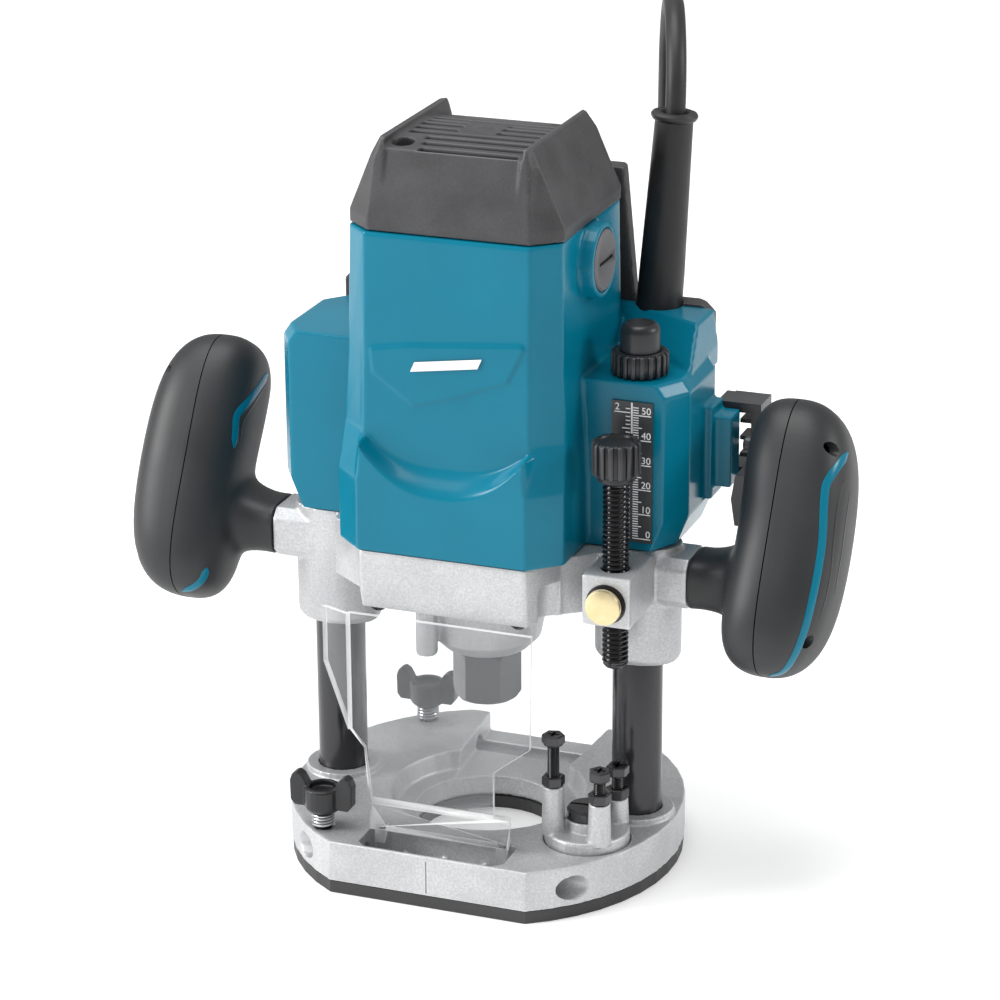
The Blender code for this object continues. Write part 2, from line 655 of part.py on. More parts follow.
def make_motor_housing():
    low = CAST_TOP + GAP
    lower = [body_ring(low, BODY_FRONT_LOW, BODY_FLAT + 1.2, 46.5, BODY_REAR, 11),
             body_ring(168, BODY_FRONT_LOW - 0.1, BODY_FLAT + 1.0, 46.5, BODY_REAR, 11),
             body_ring(186, BODY_FRONT_TOP + 2.4, BODY_FLAT + 0.5, 45.5, BODY_REAR),
             body_ring(212, BODY_FRONT_TOP + 1.6, BODY_FLAT, 44.0, BODY_REAR),
             body_ring(BODY_TOP, BODY_FRONT_TOP, BODY_FLAT, BODY_HALF, BODY_REAR)]
    body = loft(lower)
    body = joined(body, shoulder(-1, SHOULDER_TOP + LEFT_RISE), shoulder(1, SHOULDER_TOP))
    near, far = BODY_HALF - 5.0, SHOULDER_X - 5.5
    seat = [(near, 44.0), (near, BODY_REAR - 0.01), (far, BODY_REAR - 0.01), (far, 24.0)]
    foot = [(near, 34.0), (near, BODY_REAR - 0.02), (far + 2.0, BODY_REAR - 0.02), (far + 3.0, 6.0)]
    levels = ((foot, SHOULDER_TOP - 8), (foot, SHOULDER_TOP), (seat, PLATFORM_TOP))
    platform = loft([[(x, y, z) for x, y in ring] for ring, z in levels])
    body = joined(body, platform)
    for _, s in SIDES:
        holder = turned([(0, 30), (BRUSH_R + 3.2, 30), (BRUSH_R + 2.6, 49.4), (0, 49.4)], (0, 0, BRUSH_Z),
                        (s, 0, 0), 24)
        body = joined(body, holder)
    body = cut(body, block((-60, 60), (-20, 20), (BODY_TOP, BODY_TOP + 10)))
    side = SHOULDER_X
    bracket = [block((side - 4.5, side + 3.5), (16, 30), (152, 190)),
               block((side + 1.5, side + 10.5), (18, 30), (157, 186))]
    body = joined(body, *bracket)
    body = cut(body, hole(MOTOR_BORE_R, (0, 0, low - 5), (0, 0, BODY_TOP + 5), 40))
    for _, s in SIDES:
        at = s * PILLAR_X
        body = cut(body, hole(PILLAR_R + 1.0, (at, 0, low - 5), (at, 0, SHOULDER_TOP - 3.2), 24))
        body = cut(body, hole(BRUSH_R + GAP, (s * 30, 0, BRUSH_Z), (s * 60, 0, BRUSH_Z), 24))
    body = cut(body, hole(LIMIT_R + 0.8, (PILLAR_X, 0, SHOULDER_TOP - 8), (PILLAR_X, 0, SHOULDER_TOP + 5),
                          16, 10.0))
    return piece("motor_housing", cut(body, guard_room()), "housing")


def guard_room():
    """The cutter for the round seat of the cord guard."""
    foot = Vector((*GUARD_FOOT, PLATFORM_TOP))
    lean = (Vector(GUARD_TOP) - foot).normalized()
    return hole(GUARD_R + GAP, foot - lean * (GUARD_DEEP + GAP), foot + lean * 8, 20)


def make_top_cover():
    """The vented cover: sloping sides, two fins, a sloped front between them and a crowned, slotted deck."""
    low = BODY_TOP + GAP
    rings = [body_ring(low, 38.4, 32.6, BODY_HALF + 0.4, BODY_REAR),
             body_ring(low + 5, 38.2, 32.6, BODY_HALF + 0.6, BODY_REAR),
             body_ring(COVER_TOP - 5, 33.6, FIN_X + 0.6, FIN_X + 3.4, 39, 4),
             body_ring(FIN_TOP, 31.2, FIN_X - 1.4, FIN_X, 35, 3)]
    cover = loft(rings)
    inner = FIN_X - 2.6
    deck = COVER_TOP
    valley = [(-44, deck - 9), (-32, deck - 2.2), (-16, deck - 0.4), (2, deck), (18, deck - 1.4),
              (34, deck - 5), (60, deck - 20)]
    roof = [(y, z) for y, z in valley] + [(60, deck + 20), (-44, deck + 20)]
    cover = cut(cover, loft([[(x, y, z) for y, z in roof] for x in (-inner, inner)]))
    scoop = [(-46, BODY_TOP + 12), (-37.4, BODY_TOP + 12), (-31.6, deck - 2.0), (-31.6, deck + 6),
             (-46, deck + 6)]
    cover = cut(cover, loft([[(x, y, z) for y, z in scoop] for x in (-inner + 0.6, inner - 0.6)]))
    hollow = [body_ring(z, f - COVER_WALL, w - 1, h - COVER_WALL, r - COVER_WALL, c)
              for z, f, w, h, r, c in ((low - 1, 38, 32, 43, 45, 9), (low + 6, 37, 32, 42.6, 45, 9),
                                       (COVER_TOP - 8.5, 31.5, 27, 29, 34, 3))]
    cover = cut(cover, loft(hollow))
    hinge = rod(15.2, (0, 0, COVER_TOP - 20), (0, 0, COVER_TOP - 8), 24)
    cover = joined(cover, hinge)
    cover = cut(cover, hole(11.0 + GAP, (0, 0, low - 4), (0, 0, COVER_TOP - 13), 24))
    for tool in deck_slots(deck):
        cover = cut(cover, tool)
    dome = turned([(0, deck - 9), (5, deck - 9), (5, deck - 0.6), (3.6, deck + 0.3), (0, deck + 0.6)],
                  steps=16)
    cover = joined(cover, dome)
    for x, y in ((-23, -23.5), (23, 24.0)):
        cover = cut(cover, hole(4.4, (x, y, deck - 6.5), (x, y, deck + 8), 16))
    return piece("top_cover", cover, "cover")


def deck_slots(deck):
    """The cooling slots, one row after another, kept short of the two screw holes and the middle."""
    tools = []
    long = FIN_X - 4.6
    for row in range(11):
        y = -29.5 + SLOT_PITCH * row
        spans = [(-long, long)]
        if row in (0, 1, 2):
            spans = [(-long + 11 - row, long)]
        if row in (8, 9, 10):
            spans = [(-long, long - 3 - row)]
        if row in (4, 5, 6):
            spans = [(-long, -7.5), (7.5, long)]
        for x0, x1 in spans:
            tools.append(block((x0, x1), (y - SLOT_WIDE / 2, y + SLOT_WIDE / 2), (deck - 12, deck + 6)))
    return tools


def make_rear_cover():
    """The back shell: tall over the motor, and wide behind the shoulders."""
    low, mid, top = CAST_TOP + GAP + 3, SHOULDER_TOP - 29, PLATFORM_TOP + 1
    y0, y1 = BODY_REAR + GAP, BODY_REAR + GAP + REAR_COVER
    near, far = BODY_HALF - 3.0, SHOULDER_X - 6.5
    guard_side = GUARD_FOOT[0] - GUARD_R - 1.4
    half = [(near, low), (near + 4, mid - 8), (far, mid), (far, top - 4), (far - 4, top), (guard_side, top),
            (near + 1, BODY_TOP + 10)]
    outline = [(x, z) for x, z in half] + [(-x, z) for x, z in reversed(half)]
    inner = 3.0
    shell = loft([[(x, y, z) for x, z in outline] for y in (y0, y1 - 3)] +
                 [[(x * 0.95, y1, z) for x, z in outline]])
    room = [(36, low + 6), (36, BODY_TOP - 4), (-36, BODY_TOP - 4), (-36, low + 6)]
    shell = cut(shell, loft([[(x, y, z) for x, z in room] for y in (y0 - 5, y1 - inner)]), guard_room())
    return piece("rear_cover", shell, "cover")


def make_bearings():
    low = BEARING_LOW
    piece("lower_bearing", pipe(BEARING_R, 7.0 + GAP, low, low + 12), "bright_steel")
    top = COVER_TOP - 13.3 - GAP
    piece("upper_bearing", pipe(11.0, 4.0 + GAP, top - 8, top), "bright_steel")


def make_motor_fixed():
    core = pipe(MOTOR_BORE_R - GAP, CORE_R + 1.2, CORE_LOW, CORE_LOW + CORE_HIGH, steps=32)
    piece("field_core", core, "steel")
    for name, s in SIDES:
        slotted = turned([(0, 38), (BRUSH_R, 38), (BRUSH_R, 49.2), (BRUSH_R - 0.7, 49.8), (0, 49.8)],
                         (0, 0, BRUSH_Z), (s, 0, 0), 24)
        slot = block((s * 48.6, s * 60), (-7.5, 7.5), (BRUSH_Z - 0.7, BRUSH_Z + 0.7))
        piece(f"brush_cap_{name}", cut(slotted, slot), "cover")
        brush = block((s * 12.6, s * 34.5), (-3.5, 3.5), (BRUSH_Z - 5, BRUSH_Z + 5))
        piece(f"carbon_brush_{name}", brush, "carbon")


def make_scale_plate():
    y = -13.4 - GAP
    plate = block((PILLAR_X - 6.4, PILLAR_X + 10.0), (y - 0.6, y), (142.6, 199.5))
    piece("scale_plate", plate, "scale")


# ---- the spindle

def make_spindle():
    bore = COLLET_R + 2.2
    shaft = [(0, 88), (bore, 88), (bore, SPINDLE_LOW), (SPINDLE_R - 0.6, SPINDLE_LOW),
             (SPINDLE_R, SPINDLE_LOW + 1),
             (SPINDLE_R, BEARING_LOW - 1), (7.0, BEARING_LOW - 1), (7.0, CORE_LOW - 20), (6.0,
                                                                                          CORE_LOW - 20),
             (6.0, BRUSH_Z + 14), (4.0, BRUSH_Z + 14), (4.0, COVER_TOP - 15), (0, COVER_TOP - 15)]
    piece("spindle", turned(shaft, steps=24), "bright_steel")
    core = pipe(CORE_R, 6.0 + GAP, CORE_LOW, CORE_LOW + CORE_HIGH, steps=24)
    piece("armature_core", core, "steel")
    piece("commutator", pipe(12.0, 6.0 + GAP, BRUSH_Z - 9, BRUSH_Z + 9, steps=24), "copper")
    make_fan()
    collet = [(bore - GAP, 87.5), (bore - GAP, SPINDLE_LOW + 2), (bore - 1, SPINDLE_LOW + 0.5),
              (COLLET_R, SPINDLE_LOW + 0.5),
              (COLLET_R, 87.5)]
    piece("collet", turned(collet, steps=20), "bright_steel")
    hexed = prism(hexagon((0, 0), NUT_FLATS, 12), NUT_LOW, NUT_TOP)
    trim = turned([(0, NUT_LOW - 1), (NUT_FLATS / 2 - 0.5, NUT_LOW - 1),
                   (NUT_FLATS / 2 + 2.2, NUT_LOW + 2.4),
                   (NUT_FLATS / 2 + 2.2, NUT_TOP - 2), (NUT_FLATS / 2 + 0.4, NUT_TOP + 1), (0,
                                                                                            NUT_TOP + 1)],
                                                                                            steps=24)
    hexed = kept(hexed, trim)
    inside = turned([(0, NUT_LOW - 2), (COLLET_R + 0.6, NUT_LOW - 2), (COLLET_R + 0.6, SPINDLE_LOW - 0.6),
                     (SPINDLE_R + GAP, SPINDLE_LOW - 0.6), (SPINDLE_R + GAP, NUT_TOP + 2), (0,
                                                                                            NUT_TOP + 2)],
                                                                                            steps=20)
    piece("collet_nut", cut(hexed, inside), "steel")


def make_fan():
    low, high = CAST_TOP - 18, CAST_TOP - 6
    hub = rod(12, (0, 0, low), (0, 0, high + 1), 20)
    plate = hole(FAN_R - 1, (0, 0, high - 2), (0, 0, high), 24)
    fan = joined(hub, plate)
    for i in range(8):
        blade = block((10, FAN_R), (-1.0, 1.0), (low + 1, high - 1))
        blade.data.transform(Matrix.Rotation(math.radians(45 * i + 10), 4, "Z"))
        fan = joined(fan, blade)
    fan = cut(fan, hole(7.0 + GAP, (0, 0, low - 2), (0, 0, high + 2), 20))
    piece("cooling_fan", fan, "black_plastic")


# ---- the depth stop on the head

def make_pole():
    x, y = POLE_AT
    knob_top = POLE_TOP
    profile = [(0, POLE_LOW), (POLE_R - 1.4, POLE_LOW), (POLE_R, POLE_LOW + 1.6), (POLE_R, KNOB_LOW - 0.5),
               (3.2, KNOB_LOW - 0.5), (3.2, knob_top - 5), (0, knob_top - 5)]
    piece("stopper_pole", turned(profile, (x, y, 0), steps=16), "black_plastic", (x, y, POLE_LOW))
    knob = knurled(KNOB_R, KNOB_LOW + 2.5, knob_top, (x, y), 16)
    collar = rod(KNOB_R - 2.2, (x, y, KNOB_LOW), (x, y, KNOB_LOW + 4), 20)
    knob = joined(knob, collar)
    knob = cut(knob, hole(3.2 + GAP, (x, y, KNOB_LOW - 2), (x, y, knob_top - 4.6), 12))
    piece("pole_knob", knob, "black_plastic", (x, y, KNOB_LOW))


def make_feed_button():
    x = POLE_AT[0]
    z = BLOCK_TOP - 11
    front = -(BLOCK_FRONT + 4.8)
    stem = BUTTON_R - 1.4 - FIT
    back = -(BLOCK_FRONT - 3.2)
    profile = [(0, 0), (BUTTON_R - 0.8, 0), (BUTTON_R, 0.8), (BUTTON_R, 2.4), (stem, 2.4),
               (stem, back - front), (0, back - front)]
    button = turned(profile, (x, front, z), (0, 1, 0), 24)
    piece("feed_button", button, "brass", (x, front, z))


# ---- the grips

def grip_ring(side, t, half, deep, count=20):
    """One ring of a grip at t from -1 at its foot to 1 at its top, square to its leaning axis."""
    lean = math.radians(GRIP_LEAN)
    along = Vector((0, math.sin(lean), math.cos(lean)))
    across = Vector((0, math.cos(lean), -math.sin(lean)))
    size = max(0.0, 1 - abs(t) ** 4.2) ** (1 / 2.6)
    centre = Vector((side * (GRIP_X - 5.0 * t * t), GRIP_Y, GRIP_Z)) + along * (t * GRIP_LONG)
    ring = []
    for i in range(count):
        angle = 2 * math.pi * i / count
        c, s = math.cos(angle), math.sin(angle)
        wide = math.copysign(abs(c) ** 0.8, c) * half * size
        long = math.copysign(abs(s) ** 0.8, s) * deep * size
        ring.append(centre + Vector((side * wide, 0, 0)) + across * long)
    return ring


def grip_body(side, inset=0.0):
    """A grip's closed outer form, or its inside when inset."""
    reach = 1.0 - inset / GRIP_LONG
    steps = [-0.992, -0.95, -0.86, -0.68, -0.25, 0.25, 0.68, 0.86, 0.95, 0.992]
    return loft([grip_ring(side, t * reach, GRIP_HALF - inset, GRIP_DEEP - inset) for t in steps])


def grip_neck(side, inset=0.0):
    """The round-cornered neck between a grip and its arm."""
    low, high = ARM_Z - ARM_HIGH / 2 + inset, ARM_Z + ARM_HIGH / 2 - inset
    rings = []
    for x, grow in ((ARM_END + GAP, 0.3), (ARM_END + 8, -0.4), (GRIP_X - 16, 3.5), (GRIP_X - 4, 6.0)):
        d, c = ARM_DEEP / 2 + grow - inset, 5.5
        section = [(-d + c, low - grow), (d - c, low - grow), (d, low + c - grow), (d, high - c + grow),
                   (d - c, high + grow), (-d + c, high + grow), (-d, high - c + grow), (-d, low + c - grow)]
        rings.append([(side * x, y, z) for y, z in section])
    return loft(rings)


def make_grips():
    big = 90.0
    for name, s in SIDES:
        for part, edge in (("inner", GRIP_SPLIT - GAP / 2), ("outer", GRIP_SPLIT + GAP / 2)):
            shell = joined(grip_body(s), grip_neck(s))
            shell = cut(shell, grip_body(s, GRIP_WALL))
            beyond = edge + big if part == "inner" else edge - big
            shell = cut(shell, block((s * edge, s * beyond), (-big, big), (GRIP_Z - big, GRIP_Z + big)))
            if (name, part) == ("right", "inner"):
                shell = cut(shell, block((GRIP_X - 36, GRIP_X - 10), (3.4, 16.6), (146.4, 168.6)))
                shell = cut(shell, hole(3.4, (GRIP_X - 36, 16, 177), (GRIP_X - 10, 16, 177), 16))
            piece(f"{name}_grip_{part}", shell, "grip")


def make_switch():
    """The trigger on the right grip's inner side, its lock-off button, and the switch behind them."""
    front, back = GRIP_X - 25.0, GRIP_X - 14.6
    trigger = [(front, 147.2), (front - 1.6, 158), (front, 167.8), (back, 167.8), (back, 147.2)]
    piece("switch_trigger", loft([[(x, y, z) for x, z in trigger] for y in (4.2, 15.8)]), "black_plastic",
          (front - 1, 10, 157))
    button = turned([(0, 0), (2.4, 0), (2.9, 0.8), (2.9, 11), (0, 11)], (front, 16, 177), (1, 0, 0), 16)
    piece("lock_off_button", button, "black_plastic", (front, 16, 177))
    piece("switch_body", block((GRIP_X - 10.0, GRIP_X - 1.5), (0, 14), (147, 169)), "black_plastic")


# ---- controls at the back of the head

def make_lock_lever():
    """The plunge lock: a bolt into the left boss, and a lever on it."""
    z = BOSS_BOTTOM + 14
    x = -PILLAR_X
    face = BOSS_R + 5 + GAP
    bolt = joined(rod(3.6, (x, PILLAR_R + 1.4, z), (x, face + 6, z), 12),
                  rod(6.4, (x, face + 7.3, z), (x, face + 10.5, z), 6), rod(3.6, (x, face + 5, z),
                                                                            (x, face + 8, z), 12))
    piece("lock_bolt", bolt, "steel", (x, face, z))
    hub = rod(8.2, (x, face, z), (x, face + 7, z), 20)
    blade = [(x - 2, z - 4.5), (x - 22, z + 2), (x - 33, z + 11), (x - 31, z + 17), (x - 20, z + 10),
             (x - 2, z + 4.5)]
    arm = loft([[(px, py, pz) for px, pz in blade] for py in (face + 1.2, face + 6.2)])
    lever = cut(joined(hub, arm), rod(3.6 + GAP, (x, face - 2, z), (x, face + 10, z), 12))
    piece("lock_lever", lever, "black_plastic", (x, face, z))


def make_shaft_lock():
    z = BEARING_LOW - 6
    start = SPINDLE_R + 6.5
    end = 33.0
    pin = joined(rod(3.2, (0, start, z), (0, end, z), 12), rod(6.5, (0, end - 1.5, z), (0, end + 4, z), 20))
    piece("shaft_lock", pin, "black_plastic", (0, end, z))


def make_cable_clip():
    """The hooked cable holder on the right, with its ribs."""
    x = SHOULDER_X
    frame = block((x + 4.0, x + 18.5), (31, 45), (184, 188))
    frame = joined(frame, block((x + 14.5, x + 18.5), (31, 45), (158, 186)))
    frame = joined(frame, block((x + 4.0, x + 16.5), (31, 45), (158, 161.5)))
    for z in (166, 173, 180):
        frame = joined(frame, block((x + 9.5, x + 15.5), (33, 43), (z - 0.8, z + 0.8)))
    frame = joined(frame, block((x + 0.7, x + 4.3), (31, 44), (176, 188)))
    piece("cable_clip", frame, "black_plastic")


def make_cord_guard():
    foot = Vector((*GUARD_FOOT, PLATFORM_TOP))
    top = Vector(GUARD_TOP)
    lean = (top - foot).normalized()
    length = (top - foot).length
    r = GUARD_R
    profile = [(CORD_R + GAP, -GUARD_DEEP), (r, -GUARD_DEEP), (r, 0), (r - 1.9, length - 3.4),
               (r - 0.6, length - 3.0), (r + 0.3, length - 1.6),
               (r - 0.4, length - 0.2), (r - 1.6, length), (CORD_R + 1.2, length - 0.6), (CORD_R + GAP,
                                                                                          length - 4)]
    guard = turned(profile, foot, lean, 20)
    piece("cord_guard", guard, "black_plastic")
    return foot, lean, length


# ---- the cord

def smooth_line(points, count):
    """Evenly many points along a smooth curve through the given ones."""
    curve = [Vector(p) for p in points]
    padded = [curve[0] * 2 - curve[1]] + curve + [curve[-1] * 2 - curve[-2]]
    line = []
    spans = len(curve) - 1
    for k in range(count + 1):
        place = spans * k / count
        i = min(int(place), spans - 1)
        t = place - i
        a, b, c, d = padded[i:i + 4]
        bend = (2 * a - 5 * b + 4 * c - d) * t * t + (3 * b - a - 3 * c + d) * t ** 3
        line.append(0.5 * ((2 * b) + (c - a) * t + bend))
    return line


CORD_ROUTE = [
    (60.1, 48.7, 288.0), (60.7, 49.5, 300.0), (59.2, 54.5, 316.0), (55.0, 66.0, 327.5), (49.0, 82.0, 332.0),
    (43.0, 98.0, 327.5), (38.6, 109.5, 316.0), (36.2, 115.5, 300.0), (33.0, 124.0, 255.0), (29.0, 134.0,
                                                                                            195.0),
    (24.0, 147.0, 135.0), (17.0, 164.0, 78.0), (8.0, 188.0, 34.0), (0.0, 214.0, 11.5), (-7.5, 240.0, 5.2),
    (-16.0, 271.0, 4.6),
]


def make_cord():
    """The free lead from the guard down to the floor, the coil that it ends in, and the plug."""
    curve = bpy.data.curves.new("cord_lead", "CURVE")
    curve.dimensions = "3D"
    curve.bevel_depth = CORD_R * MM
    curve.bevel_resolution = 2
    curve.use_fill_caps = True
    spline = curve.splines.new("POLY")
    line = smooth_line(CORD_ROUTE, 40)
    spline.points.add(len(line) - 1)
    for point, at in zip(spline.points, line):
        point.co = (*(at * MM), 1.0)
    curve.materials.append(look("cord"))
    lead = bpy.data.objects.new("cord_lead", curve)
    bpy.context.scene.collection.objects.link(lead)
    inner = COIL_R - COIL_WIDE
    c = 4.0
    ring = [(COIL_R - c, GAP), (COIL_R, c), (COIL_R, COIL_HIGH - c), (COIL_R - c, COIL_HIGH),
            (inner + c, COIL_HIGH),
            (inner, COIL_HIGH - c), (inner, c), (inner + c, GAP)]
    piece("cord_coil", turned(ring, (*COIL_AT, 0), steps=24), "cord")
    make_plug()


def make_plug():
    """A plain two-pin plug lying across the coil."""
    x, y = COIL_AT[0] + 6, COIL_AT[1]
    low = COIL_HIGH + GAP
    body = loft([[(x + a, y + b, z) for a, b in ((-w, -d), (w, -d), (w, d), (-w, d))]
                 for z, w, d in ((low, 14, 8), (low + 2, 16, 10), (low + 15, 15, 9), (low + 17, 12, 7))])
    for s in (-1, 1):
        body = joined(body, rod(2.2, (x - 34, y + s * 6, low + 8), (x - 13, y + s * 6, low + 8), 10))
    body = joined(body, turned([(0, 0), (5.4, 0), (4.6, 20), (0, 20)], (x + 13, y, low + 8), (1, 0, 0), 12))
    piece("plug", body, "cord")


def build():
    clear_scene()
    make_sole()
    make_base_plate()
    make_pillars()
    make_limit_stop()
    make_wing_bolts()
    make_stopper()
    make_shield()
    make_plunge_springs()
    make_column_housing()
    make_motor_housing()
    make_top_cover()
    make_rear_cover()
    make_bearings()
    make_motor_fixed()
    make_scale_plate()
    make_spindle()
    make_pole()
    make_feed_button()
    make_grips()
    make_switch()
    make_lock_lever()
    make_shaft_lock()
    make_cable_clip()
    make_cord_guard()
    make_cord()


build()
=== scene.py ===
import math

import bmesh
import bpy
from mathutils import Matrix, Vector
from mathutils.bvhtree import BVHTree


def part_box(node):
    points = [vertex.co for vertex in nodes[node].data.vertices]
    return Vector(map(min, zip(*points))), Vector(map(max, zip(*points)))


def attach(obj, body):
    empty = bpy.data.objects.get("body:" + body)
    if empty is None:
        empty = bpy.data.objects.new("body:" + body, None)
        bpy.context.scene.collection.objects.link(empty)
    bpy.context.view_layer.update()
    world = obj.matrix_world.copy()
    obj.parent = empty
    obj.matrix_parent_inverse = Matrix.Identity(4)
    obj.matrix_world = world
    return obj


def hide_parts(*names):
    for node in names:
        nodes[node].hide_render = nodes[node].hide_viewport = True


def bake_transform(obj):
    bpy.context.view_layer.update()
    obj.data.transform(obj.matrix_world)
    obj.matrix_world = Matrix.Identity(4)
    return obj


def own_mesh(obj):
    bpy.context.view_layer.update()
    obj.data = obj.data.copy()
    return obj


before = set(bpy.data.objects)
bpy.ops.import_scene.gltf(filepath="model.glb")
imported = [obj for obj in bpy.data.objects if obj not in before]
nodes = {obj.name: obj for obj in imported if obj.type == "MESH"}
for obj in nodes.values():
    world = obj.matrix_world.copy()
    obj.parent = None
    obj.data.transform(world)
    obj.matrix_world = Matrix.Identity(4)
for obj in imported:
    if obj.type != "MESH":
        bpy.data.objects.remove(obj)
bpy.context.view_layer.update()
mm = 0.001
print("frame loaded:", len(nodes), "nodes")

cameraSet = {
    "azimuth": 20.8, "elevation": 20.35, "roll": -0.37,  # degrees
    "lens": 129.6, "sensor": 36.0, "place": (0.4780, -1.2427, 0.6404), "clip": (0.05, 50.0),
}


def makeCamera():
    a, e, r = (math.radians(cameraSet[key]) for key in ("azimuth", "elevation", "roll"))
    back = Vector((math.sin(a) * math.cos(e), -math.cos(a) * math.cos(e), math.sin(e)))
    side = Vector((math.cos(a), math.sin(a), 0))
    up = back.cross(side)
    across = side * math.cos(r) + up * math.sin(r)
    above = up * math.cos(r) - side * math.sin(r)
    data = bpy.data.cameras.new("camera")
    data.lens, data.sensor_width = cameraSet["lens"], cameraSet["sensor"]
    data.clip_start, data.clip_end = cameraSet["clip"]
    camera = bpy.data.objects.new("camera", data)
    turn = Matrix((across, above, back)).transposed()
    camera.matrix_world = Matrix.Translation(cameraSet["place"]) @ turn.to_4x4()
    bpy.context.scene.collection.objects.link(camera)
    bpy.context.scene.camera = camera


makeCamera()
print("camera placed")


def linear(hexCode):
    values = [int(hexCode[i:i + 2], 16) / 255 for i in (1, 3, 5)]
    return tuple(v / 12.92 if v <= 0.04045 else ((v + 0.055) / 1.055) ** 2.4 for v in values) + (1.0,)


def addNode(tree, kind, settings=None, links=None):
    node = tree.nodes.new("ShaderNode" + kind)
    for key, value in (settings or {}).items():
        if hasattr(node, key) and key not in node.inputs:
            setattr(node, key, value)
        else:
            node.inputs[key].default_value = value
    for key, source in (links or {}).items():
        tree.links.new(source, node.inputs[key])
    return node


def newMaterial(name):
    material = bpy.data.materials.new(name)
    material.use_nodes = True
    tree = material.node_tree
    shader = tree.nodes["Principled BSDF"]
    coords = addNode(tree, "TexCoord").outputs["Object"]
    return material, tree, shader, coords


def ramp(tree, source, stops):
    node = addNode(tree, "ValToRGB", links={"Fac": source})
    band = node.color_ramp
    while len(band.elements) < len(stops):
        band.elements.new(0.5)
    for element, (at, colour) in zip(band.elements, stops):
        element.position = at
        element.color = colour if len(colour) == 4 else (*colour, 1.0)
    return node.outputs["Color"]


def grey(value):
    return (value, value, value, 1.0)


def paleEdges(tree, low, high):
    # pointiness is high on outer edges; the colour is painted paler there
    shape = addNode(tree, "NewGeometry").outputs["Pointiness"]
    return ramp(tree, shape, [(low, grey(0.0)), (high, grey(1.0))])


def surface(name, look):
    # one recipe for solid, grained surfaces: two close tones, a roughness that drifts, a fine grain as bump,
    # and outer edges painted a slightly paler colour
    material, tree, shader, coords = newMaterial(name)
    cloud = addNode(tree, "TexNoise", {"Scale": 1 / look["cloudSize"], "Detail": 3.0}, {"Vector": coords})
    tone = ramp(tree, cloud.outputs["Fac"], [(0.3, linear(look["dark"])), (0.7, linear(look["light"]))])
    grain = addNode(tree, "TexNoise", {"Scale": 1 / look["grainSize"], "Detail": 2.0, "Roughness": 0.6},
                    {"Vector": coords})
    speck = ramp(tree, grain.outputs["Fac"], [(0.35, grey(1 - look.get("speckle", 0.0))), (0.7, grey(1.0))])
    speckled = addNode(tree, "Mix", {"data_type": "RGBA", "blend_type": "MULTIPLY", "Factor": 1.0})
    tree.links.new(tone, speckled.inputs["A"])
    tree.links.new(speck, speckled.inputs["B"])
    edgePaled = addNode(tree, "Mix", {"data_type": "RGBA"})
    # outer edges take the paler edge colour through the pointiness mask
    tree.links.new(paleEdges(tree, *look.get("edgeBand", (0.52, 0.6))), edgePaled.inputs["Factor"])
    tree.links.new(speckled.outputs["Result"], edgePaled.inputs["A"])
    edgePaled.inputs["B"].default_value = linear(look["edge"])
    tree.links.new(edgePaled.outputs["Result"], shader.inputs["Base Color"])
    rough = ramp(tree, cloud.outputs["Fac"], [(0.3, grey(look["rough"][0])), (0.7, grey(look["rough"][1]))])
    tree.links.new(rough, shader.inputs["Roughness"])
    shader.inputs["Metallic"].default_value = look.get("metallic", 0.0)
    if "ior" in look:
        shader.inputs["IOR"].default_value = look["ior"]
    shader.inputs["Specular IOR Level"].default_value = look.get("shine", 0.5)
    if "coat" in look:
        shader.inputs["Coat Weight"].default_value = look["coat"]
        shader.inputs["Coat Roughness"].default_value = look.get("coatRough", 0.1)
    bump = addNode(tree, "Bump", {"Strength": look.get("bump", 0.3), "Distance": look.get("depth", 0.0001)},
                   {"Height": grain.outputs["Fac"]})
    tree.links.new(bump.outputs["Normal"], shader.inputs["Normal"])
    return material


# sand-cast and tumbled aluminium: pale, matt, a fine bright grain of 0.8 mm, drawn coarser than it is to show
castAluminium = surface("cast_aluminium_tumbled", {
    "dark": "#C2C3C5", "light": "#D4D5D6", "edge": "#E8E8E9", "cloudSize": 0.02, "grainSize": 0.0008,
    "speckle": 0.22, "rough": (0.42, 0.52), "metallic": 0.55, "bump": 0.35, "depth": 0.00012})
# injection-moulded glossy nylon: deep teal with an even gloss and a faint orange peel of 2 mm
tealNylon = surface("nylon_moulded_gloss_teal", {
    "dark": "#006E87", "light": "#007690", "edge": "#178EA8", "cloudSize": 0.05, "grainSize": 0.002,
    "rough": (0.2, 0.26), "bump": 0.03, "depth": 0.0001, "ior": 1.53, "shine": 0.24,
    "edgeBand": (0.58, 0.72)})
# glass-filled nylon from a spark-eroded mould: a dull grey pebble of 0.7 mm
sparkNylon = surface("nylon_spark_textured_grey", {
    "dark": "#3A3A3C", "light": "#48484A", "edge": "#77777A", "cloudSize": 0.015, "grainSize": 0.0007,
    "speckle": 0.25, "rough": (0.5, 0.6), "bump": 0.55, "depth": 0.0001, "ior": 1.53})
# soft-touch elastomer over nylon: dark, silky, with broad dull highlights
softTouch = surface("elastomer_soft_touch_grip", {
    "dark": "#252628", "light": "#2C2D2F", "edge": "#3A3B3D", "cloudSize": 0.03, "grainSize": 0.0006,
    "speckle": 0.12, "rough": (0.46, 0.54), "bump": 0.25, "depth": 0.00008, "ior": 1.5})
# black-oxide steel, ground and oiled: near black with tight highlights
oxideSteel = surface("steel_black_oxide_ground", {
    "dark": "#0C0C0D", "light": "#141416", "edge": "#3C3C3F", "cloudSize": 0.008, "grainSize": 0.0006,
    "rough": (0.18, 0.26), "metallic": 0.4, "bump": 0.05, "depth": 0.00005, "coat": 0.1, "coatRough": 0.12})
